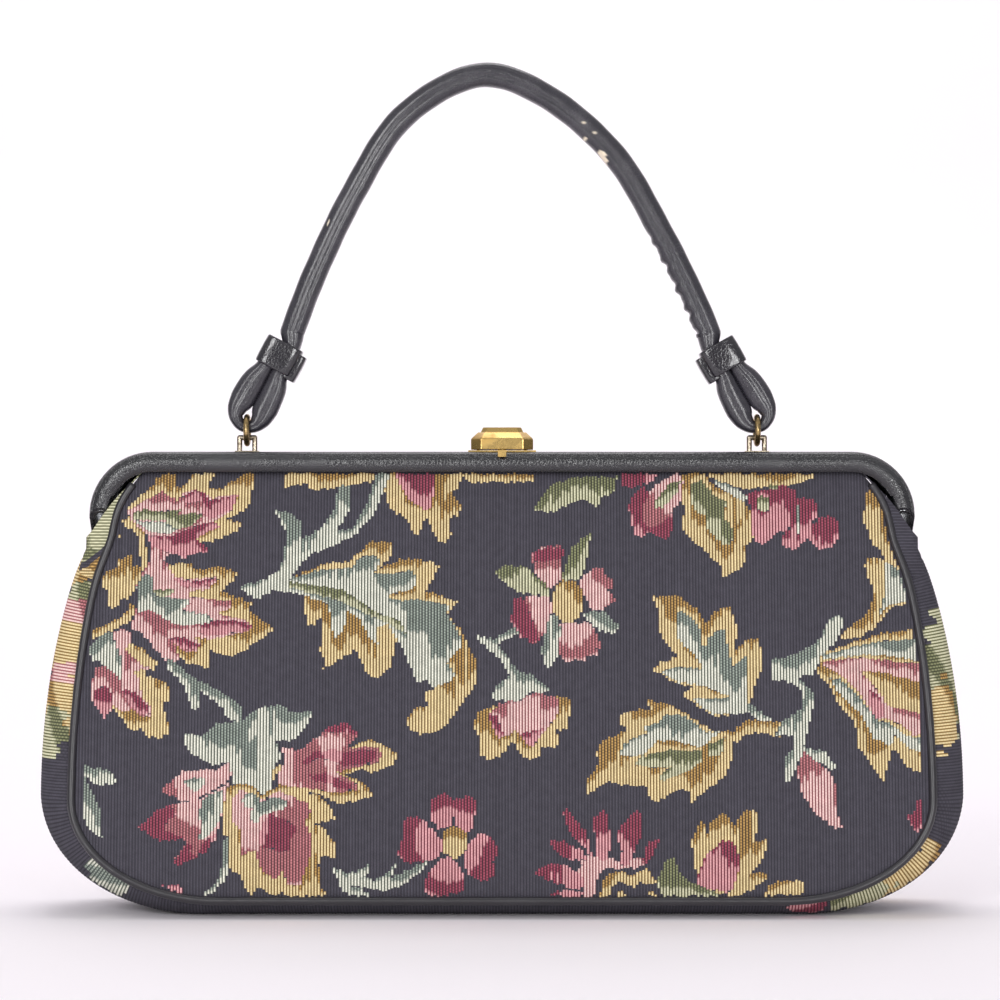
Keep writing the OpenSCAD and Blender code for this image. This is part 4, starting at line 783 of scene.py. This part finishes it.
# Chips as [x, z, radius] in mm
CHIPS = ((34.6, 257.6, 1.1), (35.2, 255.6, 1.2), (34.4, 256.6, 0.9), (27.7, 269, 0.5), (28.4, 263, 0.55),
    (31.8, 265.2, 0.6), (33.5, 258.9, 0.6), (-59.5, 234.5, 0.5))


def strap_end(side):
    """Control points [x, z, half width, half depth] of one end, in mm."""
    lean = LEANS[side]
    made = []
    for along, aside, wide, deep in FOLD:
        x = side * (RING_X - along * math.sin(lean) + aside * math.cos(lean))
        z = LOOP_Z + along * math.cos(lean) + aside * math.sin(lean)
        made.append((x, z, wide * STRAP_W / 2, deep * STRAP_D / 2))
    return made


def smooth_line(controls, steps):
    """A smooth curve through control points."""
    controls = np.array(controls)
    ends = np.concatenate([controls[:1], controls, controls[-1:]])
    made = []
    for i in range(len(controls) - 1):
        a, b, c, d = ends[i : i + 4]
        for t in np.arange(steps) / steps:
            made.append(0.5 * (2 * b + (c - a) * t + (2 * a - 5 * b + 4 * c - d) * t**2
                + (3 * b - a - 3 * c + d) * t**3))
    made.append(controls[-1])
    return np.array(made)


arch_points = [(x * RING_X, LOOP_Z + z * STRAP_RISE, STRAP_W / 2, STRAP_D / 2) for x, z in ARCH]
left_points = smooth_line(strap_end(-1)[::-1], 6)
right_points = smooth_line(strap_end(1), 6)
run_points = smooth_line([strap_end(-1)[0]] + arch_points + [strap_end(1)[0]], 32)
strap_line = np.concatenate([left_points, run_points[1:-1], right_points])
ahead = np.gradient(strap_line[:, :2], axis=0)
ahead /= np.linalg.norm(ahead, axis=1)[:, None]
strap_run = np.concatenate([[0], np.cumsum(np.linalg.norm(np.diff(strap_line[:, :2], axis=0), axis=1))])


def rounded_square(turns, power):
    """Cosine and sine of a round with flattened sides; a power of 1 is a circle."""
    across, along = np.cos(turns), np.sin(turns)
    return np.sign(across) * np.abs(across) ** power, np.sign(along) * np.abs(along) ** power


turns = np.linspace(0, 2 * math.pi, STRAP_SIDES, endpoint=False)
cosine, sine = rounded_square(turns, 0.8)
crease = 1 - 0.12 * np.exp(-(((turns - CREASE_AT) / 0.1) ** 2))
crease = crease - 0.05 * np.exp(-(((turns - EDGE_AT) / 0.07) ** 2))
x, z = strap_line[:, 0], strap_line[:, 1]
rumpled = ((x > 40) & (z < RUMPLES[0]) & (z > RUMPLES[1])).astype(float)
rumpled = np.convolve(rumpled, np.ones(15) / 15, mode="same")
wave = np.sin(strap_run * 2 * math.pi / 6.2) + 0.6 * np.sin(strap_run * 2 * math.pi / 3.7 + 1)
inside = np.clip(-cosine, 0, 1)[None, :]
uneven = 0.09 * (rumpled * wave)[:, None] * inside + 0.012 * np.sin(strap_run * 0.5)[:, None]
width = strap_line[:, 2:3] * (1 + uneven)
points_x = x[:, None] - ahead[:, 1:2] * width * cosine * crease
points_z = z[:, None] + ahead[:, 0:1] * width * cosine * crease
points_y = STRAP_Y + strap_line[:, 3:4] * sine * crease
points = np.stack([points_x, points_y, points_z], -1).reshape(-1, 3)
chipped = np.zeros(len(points))
for x, z, radius in CHIPS:
    away = np.hypot(points[:, 0] - x, points[:, 2] - z)
    away = away + 0.25 * np.sin(points[:, 0] * 9) * np.sin(points[:, 2] * 7)
    chipped = np.maximum(chipped, ((away < radius) & (points[:, 1] < STRAP_Y)).astype(float))
faces = tube_faces(len(strap_line), STRAP_SIDES)
strap_vinyl = vinyl("strap_vinyl", linear(52, 50, 58), linear(84, 81, 89), 0.27, 1300.0, 0.2, 0.3)
tree = strap_vinyl.node_tree
shader = tree.nodes["Principled BSDF"]
chip = add(tree, "Attribute", attribute_name="chip").outputs["Fac"]
painted = shader.inputs["Base Color"].links[0].from_socket
tree.links.new(mixed(tree, chip, painted, linear(236, 222, 198)), shader.inputs["Base Color"])
strap = new_piece("strap", points * MM, faces, [strap_vinyl], None, {"chip": chipped})
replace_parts(strap, "handle_strap")
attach(strap, "handle")

# Keepers: a glossy black vinyl band round the two strands of each fold of the strap.
# It is wrapped tight, with its end lapped over on the side towards the middle.
KEEPER_MID = 23.7
KEEPER_W = 13.4
KEEPER_D = 10.4
KEEPER_H = 10.0
BAND = ((-0.5, 1.1), (-0.5, 0.3), (-0.475, 0.06), (-0.44, 0.0), (-0.2, -0.12), (0.2, -0.12), (0.44, 0.0),
    (0.475, 0.06), (0.5, 0.3), (0.5, 1.1))
BAND_SIDES = 56
keeper_vinyl = vinyl("keeper_vinyl", linear(36, 34, 41), linear(54, 52, 58), 0.22, 900.0, 0.16, 0.6)


def band(middle, lean, width, depth, height):
    """Points and faces of a closed band round an axis that leans in the front's plane."""
    angle = np.linspace(0, 2 * math.pi, BAND_SIDES, endpoint=False)
    cosine, sine = rounded_square(angle, 0.5)
    made = []
    for rise, inset in BAND:
        x = (width / 2 - inset) * cosine
        y = (depth / 2 - inset) * sine
        z = rise * height
        made.append(np.stack([middle[0] + x * math.cos(lean) + z * math.sin(lean), STRAP_Y + y,
            middle[1] - x * math.sin(lean) + z * math.cos(lean)], -1))
    faces = grid_faces(len(BAND), BAND_SIDES, closed=True)
    last = (len(BAND) - 1) * BAND_SIDES
    for j in range(BAND_SIDES):
        k = (j + 1) % BAND_SIDES
        faces.append((last + j, last + k, k, j))
    return np.concatenate(made), faces


for end, side in (("left", -1), ("right", 1)):
    lean = -side * LEANS[side]
    along = Vector((math.sin(lean), math.cos(lean)))
    aside = Vector((math.cos(lean), -math.sin(lean)))
    middle = Vector((side * RING_X, LOOP_Z)) + along * KEEPER_MID
    lap = middle - aside * side * KEEPER_W * 0.46 - along * 1.2
    points, faces = band(middle, lean, KEEPER_W, KEEPER_D, KEEPER_H)
    more, lapped = band(lap, lean, KEEPER_W * 0.4, KEEPER_D * 0.72, KEEPER_H * 0.96)
    faces += [tuple(i + len(points) for i in quad) for quad in lapped]
    keeper = new_piece(end + "_keeper_band", np.concatenate([points, more]) * MM, faces, [keeper_vinyl])
    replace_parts(keeper, end + "_keeper")
    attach(keeper, "handle")

# Stage: a plain pale floor that curves up into a rear wall, with soft lamps and the camera.
# It is not a piece of the bag; its sheet shows from one side only, so that the bag can be seen from behind.
STAGE_HALF = 1.6
STAGE_FRONT = -1.0
STAGE_BACK = 0.5
STAGE_TURN = 0.35
STAGE_TOP = 1.6
profile = [(STAGE_FRONT, 0.0), (STAGE_BACK, 0.0)]
for step in range(1, 13):
    angle = math.radians(90 * step / 12)
    profile.append((STAGE_BACK + STAGE_TURN * math.sin(angle), STAGE_TURN * (1 - math.cos(angle))))
profile.append((STAGE_BACK + STAGE_TURN, STAGE_TOP))
points = [(x, y, z) for y, z in profile for x in (-STAGE_HALF, STAGE_HALF)]
stage_paint, tree, shader = new_material("stage_paint", {"Roughness": 0.9, "Specular IOR Level": 0.1})
shader.inputs["Base Color"].default_value = linear(248, 243, 248)
behind = add(tree, "NewGeometry").outputs["Backfacing"]
tree.links.new(reckon(tree, "SUBTRACT", 1.0, behind), shader.inputs["Alpha"])
floor = new_piece("floor", points, grid_faces(len(profile), 2), [stage_paint])

world = bpy.data.worlds.new("studio")
bpy.context.scene.world = world
world.use_nodes = True
tree = world.node_tree
direction = add(tree, "SeparateXYZ", {0: add(tree, "TexCoord").outputs["Generated"]}).outputs
sky = stepped(tree, direction[2], 0.3, 1.0, -0.25, 0.75)
grey = add(tree, "CombineColor", {0: sky, 1: sky, 2: sky}).outputs[0]
tree.links.new(grey, tree.nodes["Background"].inputs["Color"])
tree.nodes["Background"].inputs["Strength"].default_value = 0.6


def lamp(name, place, size, power, aim=(0, 0, 0.12)):
    """A soft square lamp that faces the middle of the bag, or another place."""
    light = bpy.data.lights.new(name, "AREA")
    light.size = size
    light.energy = power
    made = placed(name, light)
    made.location = place
    made.rotation_euler = (Vector(aim) - Vector(place)).to_track_quat("-Z", "Y").to_euler()


lamp("key", (-0.6, -1.5, 0.75), 0.5, 8)
lamp("front", (0.6, -1.7, 0.22), 0.5, 8)
lamp("side", (-0.75, -1.6, 0.2), 0.4, 5)
lamp("backdrop", (0, 0.3, 1.35), 0.8, 7, (0, 0.85, 0.35))

CAMERA_X = -0.0007
CAMERA_AWAY = 1.1
CAMERA_Z = 0.1396
VIEW_WIDE = 0.342
camera_data = bpy.data.cameras.new("camera")
camera_data.sensor_width = 36
camera_data.lens = 36 * CAMERA_AWAY / VIEW_WIDE
camera = placed("camera", camera_data)
camera.location = (CAMERA_X, -CAMERA_AWAY, CAMERA_Z)
camera.rotation_euler = (math.pi / 2, 0, 0)
bpy.context.scene.camera = camera
bpy.context.scene.view_settings.view_transform = "Standard"
